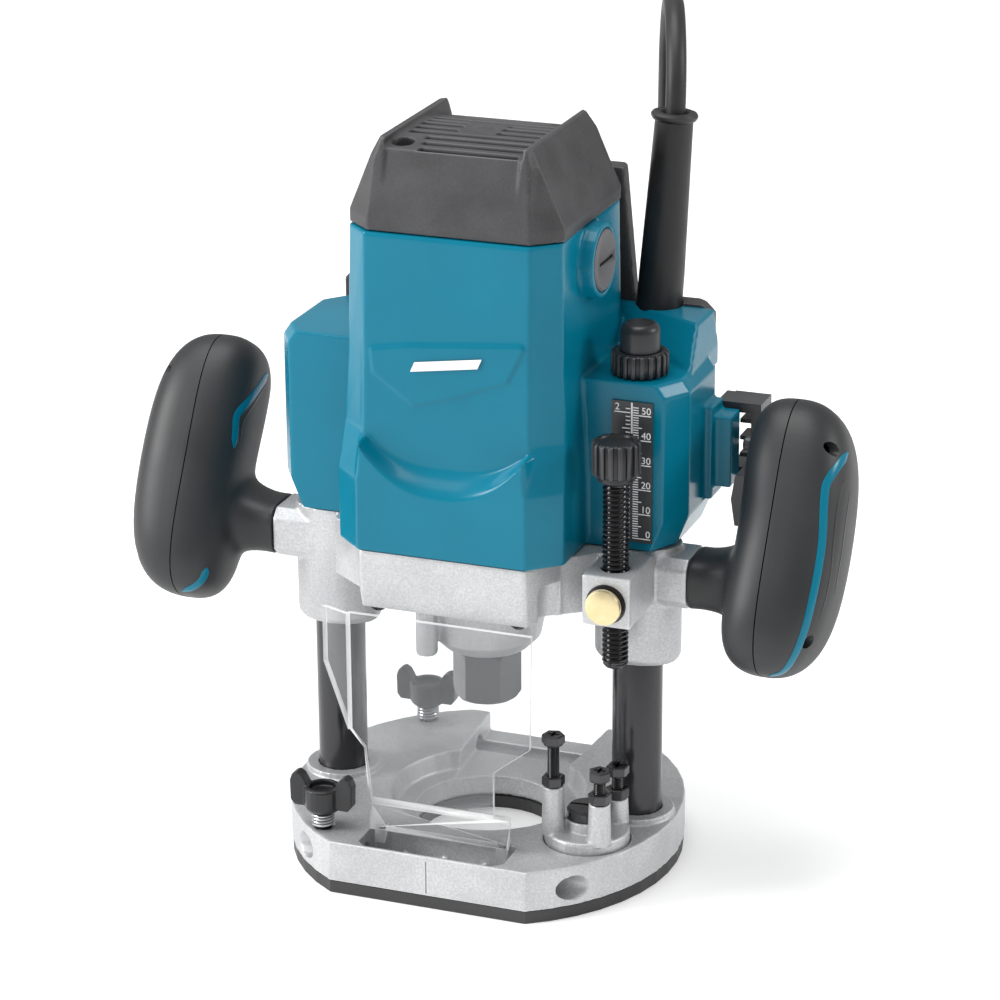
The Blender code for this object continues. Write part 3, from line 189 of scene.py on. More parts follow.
# moulded acetal: black, dense, slightly waxy
blackAcetal = surface("acetal_moulded_black", {
    "dark": "#1B1B1D", "light": "#242527", "edge": "#3C3D40", "cloudSize": 0.01, "grainSize": 0.0005,
    "rough": (0.32, 0.42), "bump": 0.15, "depth": 0.00005, "ior": 1.48})
# turned and zinc-plated steel: bright grey
plainSteel = surface("steel_turned_plated", {
    "dark": "#8C8D90", "light": "#A9AAAD", "edge": "#D0D0D2", "cloudSize": 0.006, "grainSize": 0.0005,
    "rough": (0.25, 0.35), "metallic": 1.0, "bump": 0.08, "depth": 0.00004})
# turned free-cutting brass, lightly tarnished to a pale straw
strawBrass = surface("brass_turned_satin", {
    "dark": "#D2BE8A", "light": "#E2D2A4", "edge": "#F2E6C4", "cloudSize": 0.006, "grainSize": 0.0005,
    "rough": (0.3, 0.38), "metallic": 0.85, "bump": 0.06, "depth": 0.00004})
# moulded phenolic sole: flat black, a little scuffed grey on its edge
phenolic = surface("phenolic_moulded_sole", {
    "dark": "#151515", "light": "#202020", "edge": "#3A3A3A", "cloudSize": 0.02, "grainSize": 0.0007,
    "rough": (0.45, 0.6), "bump": 0.2, "depth": 0.00006})
# vulcanised rubber: black with a soft broad sheen
blackRubber = surface("rubber_vulcanised_black", {
    "dark": "#161617", "light": "#1F1F20", "edge": "#303032", "cloudSize": 0.012, "grainSize": 0.0007,
    "rough": (0.42, 0.55), "bump": 0.2, "depth": 0.00006})
# copper segments, turned and browned by the brushes
brownCopper = surface("copper_turned_browned", {
    "dark": "#8A4B2A", "light": "#B06A3C", "edge": "#D99A6A", "cloudSize": 0.004, "grainSize": 0.0004,
    "rough": (0.3, 0.45), "metallic": 1.0, "bump": 0.1, "depth": 0.00004})
# pressed carbon: dead matt near black
pressedCarbon = surface("carbon_pressed", {
    "dark": "#1A1A1A", "light": "#262626", "edge": "#3A3A3A", "cloudSize": 0.004, "grainSize": 0.0004,
    "rough": (0.6, 0.8), "bump": 0.3, "depth": 0.00005})
# printed polyester film: charcoal, smooth
printedFilm = surface("polyester_film_charcoal", {
    "dark": "#2E2F31", "light": "#343537", "edge": "#3C3D40", "cloudSize": 0.01, "grainSize": 0.0006,
    "rough": (0.35, 0.42), "bump": 0.03, "depth": 0.00003})
# pad-printed ink: flat white
whiteInk = surface("ink_pad_printed_white", {
    "dark": "#E6E8E8", "light": "#F2F3F3", "edge": "#F6F6F6", "cloudSize": 0.01, "grainSize": 0.0005,
    "rough": (0.5, 0.6), "bump": 0.03, "depth": 0.00002})

clearSet = {
    "tone": "#A4A8AA", "rough": 0.06, "ior": 1.58, "hazeScale": 60.0, "haze": 0.06,
    "cover": [(0.0, 0.12), (0.6, 0.18), (1.0, 0.75)],  # how much it hides, from face on to edge on
}


def clearSheet():
    # injection-moulded clear polycarbonate: nearly invisible face on, greyer and shinier edge on, faint haze
    material, tree, shader, coords = newMaterial("polycarbonate_moulded_clear")
    edge = addNode(tree, "LayerWeight", {"Blend": 0.35})
    haze = addNode(tree, "TexNoise", {"Scale": clearSet["hazeScale"], "Detail": 3.0}, {"Vector": coords})
    cover = ramp(tree, edge.outputs["Facing"], [(at, grey(value)) for at, value in clearSet["cover"]])
    mixed = addNode(tree, "Math", {"operation": "MULTIPLY_ADD"}, {0: haze.outputs["Fac"], 2: cover})
    mixed.inputs[1].default_value = clearSet["haze"]
    tree.links.new(mixed.outputs[0], shader.inputs["Alpha"])
    shader.inputs["Base Color"].default_value = linear(clearSet["tone"])
    shader.inputs["Roughness"].default_value = clearSet["rough"]
    shader.inputs["IOR"].default_value = clearSet["ior"]
    return material


clearPoly = clearSheet()
# a painted highlight: the polycarbonate's moulded rim drawn as milky white lines for the light it gathers
clearRimHighlight = surface("polycarbonate_rim_painted_highlight", {
    "dark": "#E4E6E7", "light": "#F4F5F5", "edge": "#FFFFFF", "cloudSize": 0.01, "grainSize": 0.0006,
    "rough": (0.2, 0.3), "bump": 0.03, "depth": 0.00003, "ior": 1.58})
clearRimHighlight.node_tree.nodes["Principled BSDF"].inputs["Alpha"].default_value = 0.75
print("materials made")

sharpAngle = 35  # degrees between two faces that makes a sharp edge


def meshObject(name, points, faces):
    # every helper from here on takes its sizes in millimetres
    bm = bmesh.new()
    corners = [bm.verts.new(Vector(p) * mm) for p in points]
    for face in faces:
        bm.faces.new([corners[i] for i in face])
    bmesh.ops.recalc_face_normals(bm, faces=bm.faces)
    mesh = bpy.data.meshes.new(name)
    bm.to_mesh(mesh)
    bm.free()
    thing = bpy.data.objects.new(name, mesh)
    bpy.context.scene.collection.objects.link(thing)
    return thing


def loft(name, rings):
    count = len(rings[0])
    faces = [list(range(count))[::-1]]
    for level in range(len(rings) - 1):
        low, high = level * count, (level + 1) * count
        faces += [[low + i, low + (i + 1) % count, high + (i + 1) % count, high + i] for i in range(count)]
    faces.append([(len(rings) - 1) * count + i for i in range(count)])
    return meshObject(name, [p for ring in rings for p in ring], faces)


def block(name, xs, ys, zs):
    (x0, x1), (y0, y1), (z0, z1) = xs, ys, zs
    return loft(name, [[(x0, y0, z), (x1, y0, z), (x1, y1, z), (x0, y1, z)] for z in (z0, z1)])


def lathe(name, profile, at=(0, 0, 0), axis=(0, 0, 1), steps=64):
    # the profile is (radius, height) from the axis back to the axis, or a closed loop clear of it
    turn = Vector((0, 0, 1)).rotation_difference(Vector(axis).normalized()).to_matrix()
    points, rows = [], []
    for radius, height in profile:
        row = []
        for i in range(steps if radius > 0 else 1):
            angle = 2 * math.pi * i / steps
            row.append(len(points))
            spoke = Vector((radius * math.cos(angle), radius * math.sin(angle), height))
            points.append(Vector(at) + turn @ spoke)
        rows.append(row)
    pairs = list(zip(rows, rows[1:]))
    if profile[0][0] > 0:
        pairs.append((rows[-1], rows[0]))
    faces = []
    for low, high in pairs:
        for i in range(steps):
            j = (i + 1) % steps
            ends = [low[i % len(low)], low[j % len(low)], high[j % len(high)], high[i % len(high)]]
            faces.append(list(dict.fromkeys(ends)))
    return meshObject(name, points, faces)


def rod(name, radius, start, end, steps=32):
    start, end = Vector(start), Vector(end)
    length = (end - start).length
    return lathe(name, [(0, 0), (radius, 0), (radius, length), (0, length)], start, end - start, steps)


def sweep(name, path, radius, sides=14):
    # a round tube along a path, its rings carried without twist
    line = [Vector(p) for p in path]
    rings, normal = [], None
    for i, at in enumerate(line):
        ahead = (line[min(i + 1, len(line) - 1)] - line[max(i - 1, 0)]).normalized()
        if normal is None:
            normal = ahead.orthogonal().normalized()
        normal = (normal - ahead * normal.dot(ahead)).normalized()
        side = ahead.cross(normal)
        rings.append([at + (normal * math.cos(t) + side * math.sin(t)) * radius
                      for t in (2 * math.pi * k / sides for k in range(sides))])
    return loft(name, rings)


def applied(thing, kind, **settings):
    step = thing.modifiers.new(kind, kind)
    for key, value in settings.items():
        setattr(step, key, value)
    with bpy.context.temp_override(object=thing, active_object=thing):
        bpy.ops.object.modifier_apply(modifier=step.name)
    return thing


def combined(thing, tools, operation):
    for tool in tools:
        applied(thing, "BOOLEAN", operation=operation, object=tool, solver="EXACT")
        bpy.data.objects.remove(tool, do_unlink=True)
    return thing


def melted(thing, voxel, rounds):
    # rounds every edge as a mould or a tumbling barrel does: an even net of small faces, lightly smoothed
    applied(thing, "REMESH", mode="VOXEL", voxel_size=voxel * mm, use_smooth_shade=True)
    return applied(thing, "SMOOTH", factor=0.5, iterations=rounds)


def crisp(thing, width, segments=2):
    # a small bevel on the edges that are sharp, for turned and machined pieces
    return applied(thing, "BEVEL", width=width * mm, segments=segments, limit_method="ANGLE",
                   angle_limit=math.radians(sharpAngle), use_clamp_overlap=True)


def copyOf(node, name):
    source = nodes[node]
    thing = bpy.data.objects.new(name, source.data.copy())
    thing.matrix_world = source.matrix_world
    bpy.context.scene.collection.objects.link(thing)
    thing.data.transform(thing.matrix_world)
    thing.matrix_world = Matrix.Identity(4)
    bm = bmesh.new()
    bm.from_mesh(thing.data)
    bmesh.ops.remove_doubles(bm, verts=bm.verts, dist=0.000001)
    bm.to_mesh(thing.data)
    bm.free()
    return thing


def ease(value, low, high):
    t = min(max((value - low) / (high - low), 0.0), 1.0)
    return t * t * (3 - 2 * t)


def squared(value, power):
    # a power under 1 pulls the rounds of a circle out towards the corners of a square
    return math.copysign(abs(value) ** power, value)


def place(thing, body, material, slotName, *standsFor):
    thing.data.shade_smooth()
    thing.data.set_sharp_from_angle(angle=math.radians(sharpAngle))
    thing.data.materials.clear()
    thing.data.materials.append(material)
    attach(thing, body)
    if standsFor:
        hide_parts(*standsFor)
    return thing


def dress(material, *names, bevel=0.0):
    # a carried-over node keeps its shape and gets a real surface
    for name in names:
        thing = nodes[name]
        thing.data.materials.clear()
        thing.data.materials.append(material)
        if bevel:
            step = thing.modifiers.new("edges", "BEVEL")
            step.width, step.segments, step.limit_method = bevel * mm, 2, "ANGLE"
            step.angle_limit = math.radians(40)

# One smooth run: out of the guard, over and down behind the tool, then wound flat with the plug on it.
cordSet = {
    "radius": 4.0,
    "length": 2.35,  # metres
    "lead": [
        (60.1, 48.7, 288.0), (60.7, 49.5, 300.0), (59.2, 54.5, 316.0), (55.0, 66.0, 327.5),
        (49.0, 82.0, 332.0), (43.0, 98.0, 327.5), (38.6, 109.5, 316.0), (36.2, 115.5, 300.0),
        (33.0, 124.0, 255.0), (29.0, 134.0, 195.0), (24.0, 147.0, 135.0), (17.0, 164.0, 78.0),
        (8.0, 188.0, 34.0), (0.0, 214.0, 11.5), (-7.5, 240.0, 5.2), (-16.0, 271.0, 4.6),
    ],
    "tail": [(-112.0, 262.0, 24.5), (-100.0, 253.0, 30.5), (-88.0, 251.0, 33.0)],
    "coil": (-75.0, 288.0), "outer": 52.0, "pitch": 8.2, "startAngle": 15.3, "offFloor": 0.3,
    "layers": 3, "turnsPerLayer": 2, "stepsPerTurn": 30, "climbSteps": 8,
}


def smoothLine(points, perSpan):
    curve = [Vector(p) for p in points]
    padded = [curve[0] * 2 - curve[1]] + curve + [curve[-1] * 2 - curve[-2]]
    line = []
    for i in range(len(curve) - 1):
        a, b, c, d = padded[i:i + 4]
        for k in range(perSpan):
            t = k / perSpan
            line.append(0.5 * (b * 2 + (c - a) * t + (a * 2 - b * 5 + c * 4 - d) * t * t
                               + (b * 3 - a - c * 3 + d) * t ** 3))
    return line + [curve[-1]]


def coilLine():
    # flat layers wound in, out and in again, each a cord's width above the last
    cx, cy = cordSet["coil"]
    pitch, steps, climb = cordSet["pitch"], cordSet["stepsPerTurn"], cordSet["climbSteps"]
    angle, radius = math.radians(cordSet["startAngle"]), cordSet["outer"]
    height = cordSet["radius"] + cordSet["offFloor"]
    line = []
    for layer in range(cordSet["layers"]):
        growth = pitch if layer % 2 else -pitch
        for k in range(cordSet["turnsPerLayer"] * steps):
            line.append((cx + radius * math.cos(angle), cy + radius * math.sin(angle), height))
            angle += 2 * math.pi / steps
            radius += growth / steps
        if layer < cordSet["layers"] - 1:
            for k in range(climb):
                line.append((cx + radius * math.cos(angle), cy + radius * math.sin(angle), height))
                angle += 2 * math.pi / steps
                height += pitch / climb
    return line


def makeCord():
    path = smoothLine(cordSet["lead"], 4) + [Vector(p) for p in coilLine()]
    path += smoothLine([path[-1]] + cordSet["tail"], 4)[1:]
    total = sum((b - a).length for a, b in zip(path, path[1:])) * mm
    print("cord path", round(total, 3), "m")
    cord = sweep("cord", path, cordSet["radius"])
    cord.data.materials.append(blackRubber)
    cord.data.shade_smooth()
    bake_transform(cord)
    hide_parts("cord_lead", "cord_coil")
    plug = makePlug()
    tie = makeTie()


plugSet = {
    "at": (-58.0, 252.0, 25.3),  # on top of the wound turns
    "outline": ((-1, -0.7), (-0.7, -1), (0.7, -1), (1, -0.7), (1, 0.7), (0.7, 1), (-0.7, 1), (-1, 0.7)),
    "levels": ((0, 12, 7), (2, 15, 9.5), (15, 14, 9), (17, 11, 6.5)),  # height, half width, half depth
    "relief": [(0, 0), (5.2, 0), (4.9, 14), (4.4, 20), (0, 20)],
    "pin": [(0, 0), (2.2, 0), (2.2, 19), (1.2, 20.5), (0, 20.5)],
    "end": 12, "middle": 8, "pinSide": 6,
}


def makePlug():
    x, y, low = plugSet["at"]
    end, middle = plugSet["end"], low + plugSet["middle"]
    rings = [[(x + px * wide, y + py * deep, low + rise) for px, py in plugSet["outline"]]
             for rise, wide, deep in plugSet["levels"]]
    body = loft("cord_plug", rings)
    tools = [lathe("relief", plugSet["relief"], (x - end, y, middle), (-1, 0, 0), 24)]
    tools += [lathe("pin", plugSet["pin"], (x + end, y + side * plugSet["pinSide"], middle), (1, 0, 0), 16)
              for side in (-1, 1)]
    body = crisp(combined(body, tools, "UNION"), 0.5)
    return place(body, "base", blackRubber, "cord_rubber", "plug")


tieSet = {
    "angle": 205, "reach": 44, "height": 12.95, "half": 4.5, "steps": 32,
    "inner": (12.7, 12.5), "outer": (13.3, 12.9), "corner": 0.5, "press": 0.99,
}


def makeTie():
    # a strap round the wound turns, a squared loop with an inner and an outer wall
    angle = math.radians(tieSet["angle"])
    out, along = Vector((math.cos(angle), math.sin(angle), 0)), Vector((-math.sin(angle), math.cos(angle), 0))
    middle = Vector((*cordSet["coil"], tieSet["height"]))
    half, inner, outer, count = tieSet["half"], tieSet["inner"], tieSet["outer"], tieSet["steps"]
    points, faces = [], []
    for step, (wide, high) in ((-half, inner), (-half, outer), (half, outer), (half, inner)):
        for k in range(count):
            t = 2 * math.pi * k / count
            across = squared(math.cos(t), tieSet["corner"]) * wide
            up = squared(math.sin(t), tieSet["corner"]) * high
            points.append(middle + out * (tieSet["reach"] + across) + along * step
                          + Vector((0, 0, up * tieSet["press"])))
    for ring in range(4):
        low, high = ring * count, (ring + 1) % 4 * count
        faces += [[low + i, low + (i + 1) % count, high + (i + 1) % count, high + i] for i in range(count)]
    tie = meshObject("cord_tie", points, faces)
    return place(tie, "base", blackAcetal, "black_plastic")


makeCord()
print("cord made")


baseSet = {
    "voxel": 0.6, "cornerCut": ((56, 64), (-64, -57.8), (4, 30)),
    "centreLine": ((-0.35, 0.35), (-69.5, -68.0), (6.3, 19.8)),  # a fine line for setting the tool to a mark
}


def makeBase():
    base = copyOf("base_plate", "cast_base")
    base = combined(base, [block("corner", *baseSet["cornerCut"])], "DIFFERENCE")
    base = melted(base, baseSet["voxel"], 2)
    base = combined(base, [block("line", *baseSet["centreLine"])], "DIFFERENCE")
    place(base, "base", castAluminium, "cast_aluminium", "base_plate")


makeBase()
dress(phenolic, "sub_base", bevel=0.5)

pillarSet = {
    "x": 63.6,
    "profile": [(0, 8.3), (10, 8.3), (10, 141.2), (9.2, 142.4), (7.4, 142.4), (7.4, 12.3), (0, 12.3)],
}


def makePillars():
    for side, sign in (("left", -1), ("right", 1)):
        pillar = lathe(f"{side}_pillar_ground", pillarSet["profile"], (sign * pillarSet["x"], 0, 0), steps=72)
        place(pillar, "base", oxideSteel, "black_steel", f"{side}_pillar")


makePillars()
dress(plainSteel, "limit_rod")


def threaded(name, radius, low, high, at, pitch, depth, steps=40):
    # a real helical thread: the points of each row rise by one pitch a turn, with four rows to a pitch
    perPitch = 4
    rows = int((high - low) / pitch * perPitch)
    points, faces = [(at[0], at[1], low)], []
    for row in range(rows + 1):
        z = low + (high - low) * row / rows
        for i in range(steps):
            phase = (row / perPitch - i / steps) % 1.0
            wave = 0.5 + 0.5 * math.cos(2 * math.pi * phase)
            r = radius - depth * (1 - wave)
            angle = 2 * math.pi * i / steps
            points.append((at[0] + r * math.cos(angle), at[1] + r * math.sin(angle), z))
    points.append((at[0], at[1], high))
    top = 1 + rows * steps
    for i in range(steps):
        j = (i + 1) % steps
        faces.append([0, 1 + j, 1 + i])
        for row in range(rows):
            a, b = 1 + row * steps, 1 + (row + 1) * steps
            faces.append([a + i, a + j, b + j, b + i])
        faces.append([top + i, top + j, len(points) - 1])
    return meshObject(name, points, faces)


def fluted(name, radius, low, high, at, ridges, depth=0.9, share=0.5, chamfer=0.9):
    # a moulded knob: square ridges with soft corners, and a chamfer at each end
    ridge = ((0.02, 0.15), (0.08, 0.0), (share - 0.08, 0.0), (share, 0.15), (share + 0.06, depth),
             (0.96, depth))  # place along one ridge, drop from the outside
    ring = [(radius - drop, 2 * math.pi * (i + k) / ridges) for i in range(ridges) for k, drop in ridge]
    levels = [(low, chamfer), (low + chamfer * 0.4, chamfer * 0.4), (low + chamfer, 0.0),
              (high - chamfer, 0.0), (high - chamfer * 0.4, chamfer * 0.4), (high, chamfer)]
    rings = [[(at[0] + (r - cut) * math.cos(t), at[1] + (r - cut) * math.sin(t), z) for r, t in ring]
             for z, cut in levels]
    return loft(name, rings)


def hexPrism(name, flats, low, high, at, turn):
    r = flats / math.sqrt(3)
    levels = ((low, 0.35), (low + 0.35, 0), (high - 0.4, 0), (high, 0.45))  # with small chamfers at both ends
    rings = [[(at[0] + (r - cut) * math.cos(math.radians(turn + 60 * k)),
               at[1] + (r - cut) * math.sin(math.radians(turn + 60 * k)), z) for k in range(6)]
             for z, cut in levels]
    return loft(name, rings)


def helixLine(at, radius, low, high, turns, perTurn=20):
    count = int(turns * perTurn)
    return [(at[0] + radius * math.cos(2 * math.pi * turns * k / count),
             at[1] + radius * math.sin(2 * math.pi * turns * k / count),
             low + (high - low) * k / count) for k in range(count + 1)]


limitSet = {
    "nut": (206.8, 215.8), "nutRadius": 11.2, "ridges": 20,
    "rim": [(0, -0.8), (9.6, -0.8), (9.2, 0.2), (8.4, 0.2), (8.4, -0.5), (0, -0.5)],  # from the nut's top
    "capGap": 0.3, "capRadius": 7.7, "capWall": 7.2, "dome": (2.9, 3.5), "capHigh": 10.8,
}


def makeLimitStop():
    at = (pillarSet["x"], 0)
    low, high = limitSet["nut"]
    nut = fluted("limit_nut_knurled", limitSet["nutRadius"], low, high, at, limitSet["ridges"])
    rim = lathe("rim", [(radius, high + rise) for radius, rise in limitSet["rim"]], (*at, 0), steps=48)
    nut = combined(nut, [rim], "UNION")
    place(nut, "limit_nut", blackAcetal, "black_plastic", "limit_nut")
    base, radius = high + limitSet["capGap"], limitSet["capRadius"]
    wall, (inward, upward) = limitSet["capWall"], limitSet["dome"]
    profile = [(0, base), (radius, base)]
    for k in range(9):
        t = math.pi / 2 * k / 8
        profile.append((radius - inward * (1 - math.cos(t)), base + wall + upward * math.sin(t)))
    profile.append((0, base + limitSet["capHigh"]))
    cap = lathe("limit_cap_domed", profile, (*at, 0), steps=56)
    place(cap, "base", blackAcetal, "black_plastic", "limit_cap")


poleSet = {
    "at": (64.3, -29.7), "radius": 5.2, "thread": (98.6, 172.0), "pitch": 2.0, "depth": 0.75,
    "tip": [(0, 97.0), (3.9, 97.0), (4.7, 98.0), (4.7, 99.5), (0, 99.5)],
    "shank": (4.4, 99.0, 184.0),
    "knob": (175.5, 189.0), "knobRadius": 9.5, "ridges": 16, "ridgeDepth": 1.0,
    "collar": [(0, 173.0), (6.6, 173.0), (7.3, 173.6), (7.3, 176.5), (0, 176.5)],
    "dish": [(0, 188.2), (6.6, 188.2), (7.4, 190.0), (0, 190.0)],
}


def makePole():
    at = poleSet["at"]
    pole = threaded("stopper_pole_threaded", poleSet["radius"], *poleSet["thread"], at, poleSet["pitch"],
                    poleSet["depth"])
    tip = lathe("tip", poleSet["tip"], (*at, 0), steps=40)
    radius, low, high = poleSet["shank"]
    shank = rod("shank", radius, (*at, low), (*at, high), 40)
    pole = combined(pole, [tip, shank], "UNION")
    place(pole, "pole", oxideSteel, "black_steel", "stopper_pole")
    knob = fluted("pole_knob_fluted", poleSet["knobRadius"], *poleSet["knob"], at, poleSet["ridges"],
                  poleSet["ridgeDepth"])
    knob = combined(knob, [lathe("collar", poleSet["collar"], (*at, 0), steps=40)], "UNION")
    knob = combined(knob, [lathe("dish", poleSet["dish"], (*at, 0), steps=40)], "DIFFERENCE")
    place(knob, "pole", blackAcetal, "black_plastic", "pole_knob")


buttonSet = {
    "at": (64.3, -45.8, 126.6),
    "profile": [(0, 0), (6.3, 0), (6.9, 0.3), (7.1, 0.9), (7.1, 2.2), (6.9, 2.4), (5.3, 2.4), (5.3, 8.0),
                (0, 8.0)],
    "washer": [(5.6, 4.55), (7.9, 4.55), (8.0, 4.7), (8.0, 4.85), (5.6, 4.85)],
}


def makeFeedButton():
    button = lathe("feed_button_turned", buttonSet["profile"], buttonSet["at"], (0, 1, 0), 56)
    place(button, "feed_button", strawBrass, "brass", "feed_button")
    washer = lathe("button_washer", buttonSet["washer"], buttonSet["at"], (0, 1, 0), 48)
    place(washer, "head", oxideSteel, "black_steel")


stopperSet = {
    "centre": (53.0, -29.5), "ring": 13.6,
    "toPole": (11.3, -0.2), "turns": (49, -49, -147),  # each stop's turn from the pole, in degrees
    "posts": (36.2, 42.5, 45.6), "heads": (50.0, 56.4, 67.4), "flats": 8.0, "voxel": 0.4,
    "nut": (0.3, 4.3), "nutBore": 2.75, "bolt": 2.48, "boltFoot": 28.2, "pitch": 0.9, "depth": 0.3,
    "head": 3.8, "threadTop": 3.6, "washer": (3.9, 4.1, 3.4), "cross": (2.2, 0.5, 1.4),
}


def stopPlaces():
    cx, cy = stopperSet["centre"]
    x, y = stopperSet["toPole"]
    mid = math.degrees(math.atan2(y, x))
    return [(cx + stopperSet["ring"] * math.cos(math.radians(mid + turn)),
             cy + stopperSet["ring"] * math.sin(math.radians(mid + turn))) for turn in stopperSet["turns"]]


def makeStopBolt(i, x, y, head):
    # a threaded bolt with a washer under its hexagon head and a cross slot in it
    flats, (wide, under, over) = stopperSet["flats"], stopperSet["washer"]
    arm, half, deep = stopperSet["cross"]
    bolt = threaded(f"stop_bolt_{i}_threaded", stopperSet["bolt"], stopperSet["boltFoot"],
                    head - stopperSet["threadTop"], (x, y), stopperSet["pitch"], stopperSet["depth"], 24)
    top = hexPrism("top", flats, head - stopperSet["head"], head, (x, y), 25 * i)
    washer = rod("washer", wide, (x, y, head - under), (x, y, head - over), 32)
    bolt = combined(bolt, [top, washer], "UNION")
    cross = [block("slot", (x - across, x + across), (y - along, y + along), (head - deep, head + 1))
             for across, along in ((arm, half), (half, arm))]
    bolt = combined(bolt, cross, "DIFFERENCE")
    place(bolt, "turret", oxideSteel, "black_steel", f"stopper_bolt_{i}")


def makeStopper():
    stopper = melted(copyOf("stopper_block", "stopper_block_cast"), stopperSet["voxel"], 3)
    place(stopper, "turret", castAluminium, "cast_aluminium", "stopper_block")
    under, over = stopperSet["nut"]
    stops = zip(stopPlaces(), stopperSet["posts"], stopperSet["heads"])
    for i, ((x, y), post, head) in enumerate(stops, 1):
        nut = hexPrism(f"lock_nut_{i}_hex", stopperSet["flats"], post + under, post + over, (x, y), 10 * i)
        bore = rod("bore", stopperSet["nutBore"], (x, y, post), (x, y, post + 5), 24)
        nut = combined(nut, [bore], "DIFFERENCE")
        place(nut, "turret", oxideSteel, "black_steel", f"lock_nut_{i}")
        makeStopBolt(i, x, y, head)


springSet = {"wire": 0.9, "radius": 5.4, "turns": 22, "plunge": 60.0}


def makePlungeSprings():
    # long coils in the pillars, wound at one fixed length; the real ones shorten by the plunge
    wire = springSet["wire"]
    for side, sign in (("left", -1), ("right", 1)):
        x = sign * pillarSet["x"]
        low, high = (corner[2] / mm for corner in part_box(f"{side}_plunge_spring"))
        line = helixLine((x, 0), springSet["radius"], low + wire, high - wire, springSet["turns"], 16)
        spring = sweep(f"{side}_plunge_spring_wound", line, wire, 8)
        place(spring, "base", plainSteel, "bright_steel", f"{side}_plunge_spring")
        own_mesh(spring)


wingSet = {
    "x": -48.6, "y": 56.0, "voxel": 0.35, "socket": [(0, 37.6), (3.6, 37.6), (4.6, 41.0), (0, 41.0)],
    "spring": (4.2, 22.9, 28.7, 4.5), "wire": 0.55,  # radius, foot, top, turns
}


def makeWingBolts():
    for name, side in (("front", -1), ("rear", 1)):
        x, y = wingSet["x"], side * wingSet["y"]
        bolt = melted(copyOf(f"wing_bolt_{name}", f"wing_bolt_{name}_moulded"), wingSet["voxel"], 8)
        bolt = combined(bolt, [lathe("socket", wingSet["socket"], (x, y, 0), steps=32)], "DIFFERENCE")
        place(bolt, f"wing_{name}", blackAcetal, "black_plastic", f"wing_bolt_{name}")
        line = helixLine((x, y), *wingSet["spring"])
        spring = sweep(f"clamp_spring_{name}_wound", line, wingSet["wire"], 8)
        place(spring, "base", plainSteel, "bright_steel", f"clamp_spring_{name}")


makeLimitStop()
makePole()
makeFeedButton()
makeStopper()
makeWingBolts()
makePlungeSprings()
dress(oxideSteel, "turret_screw", bevel=0.3)
print("stops and bolts made")

castingSet = {
    "voxel": 0.7, "screws": (("left", -30.5), ("right", 28.0)), "screwFront": -38.0,
    "screw": [(0, 110.8), (2.2, 110.8), (3.6, 112.0), (3.9, 113.2), (3.9, 114.3), (0, 114.3)],
}


def makeCasting():
    casting = melted(copyOf("column_housing", "column_casting"), castingSet["voxel"], 4)
    place(casting, "head", castAluminium, "cast_aluminium", "column_housing")
    for side, x in castingSet["screws"]:
        at = (x, castingSet["screwFront"], 0)
        screw = lathe(f"casting_screw_{side}", castingSet["screw"], at, steps=32)
        place(screw, "head", oxideSteel, "black_steel")


# The housing's front has a raised panel, a crescent step below it and one plain white bar.
housingSet = {
    "voxel": 0.7,
    "panel": [(-29.8, 209.4), (-13.3, 197.9), (1.1, 201.8), (25.2, 211.2), (31.6, 224.4), (30.5, 226.1),
              (-16.4, 221.6), (-31.0, 219.0)],
    "panelProud": 0.7, "panelEdge": 0.5, "panelFoot": 190, "panelHalf": 34,
    "crescentHalf": 33.5, "crescentLow": 163, "crescentRise": 19, "crescentPower": 2.4,
    "stepTall": 9.5, "stepLip": 1.6, "lower": -49.1, "upper": -42.2, "lean": 2.4, "leanOver": (186, 262),
    "front": [(138.9, -49.2), (168, -49.1), (186, -42.1), (212, -41.3), (264, -39.7)],  # height and depth
    "reachBack": 29, "reachOver": (29.5, 36.5), "reachSide": 47, "sideOver": (33.2, 36.5), "reachTop": 263,
    "bar": ((-14, 211.6), (13.4, 215.6), (15.2, 219.6), (-12.2, 215.6)), "barFront": -42.55, "barThick": 0.3,
}


def insideDepth(x, z, outline):
    # how far inside an outline a point is, less than zero outside it
    nearest, inside = 1e9, False
    for (x0, z0), (x1, z1) in zip(outline, outline[1:] + outline[:1]):
        if (z0 > z) != (z1 > z) and x < (x1 - x0) * (z - z0) / (z1 - z0) + x0:
            inside = not inside
        dx, dz = x1 - x0, z1 - z0
        t = min(max(((x - x0) * dx + (z - z0) * dz) / (dx * dx + dz * dz), 0.0), 1.0)
        nearest = min(nearest, math.hypot(x - x0 - t * dx, z - z0 - t * dz))
    return nearest if inside else -nearest


def frontShape(x, z):
    # the front steps back at a crescent: low at the middle and high at both sides
    h = housingSet
    u = min(abs(x) / h["crescentHalf"], 1.0)
    low = h["crescentLow"] + h["crescentRise"] * u ** h["crescentPower"]
    high = low + h["stepTall"] * (1 - u * u) + h["stepLip"]
    upper = h["upper"] + h["lean"] * ease(z, *h["leanOver"])
    return h["lower"] + (upper - h["lower"]) * ease(z, low, high)


def plainFront(z):
    # where the front stands before the crescent is pressed in
    marks = housingSet["front"]
    for (z0, y0), (z1, y1) in zip(marks, marks[1:]):
        if z <= z1:
            return y0 + (y1 - y0) * (z - z0) / (z1 - z0)
    return marks[-1][1]


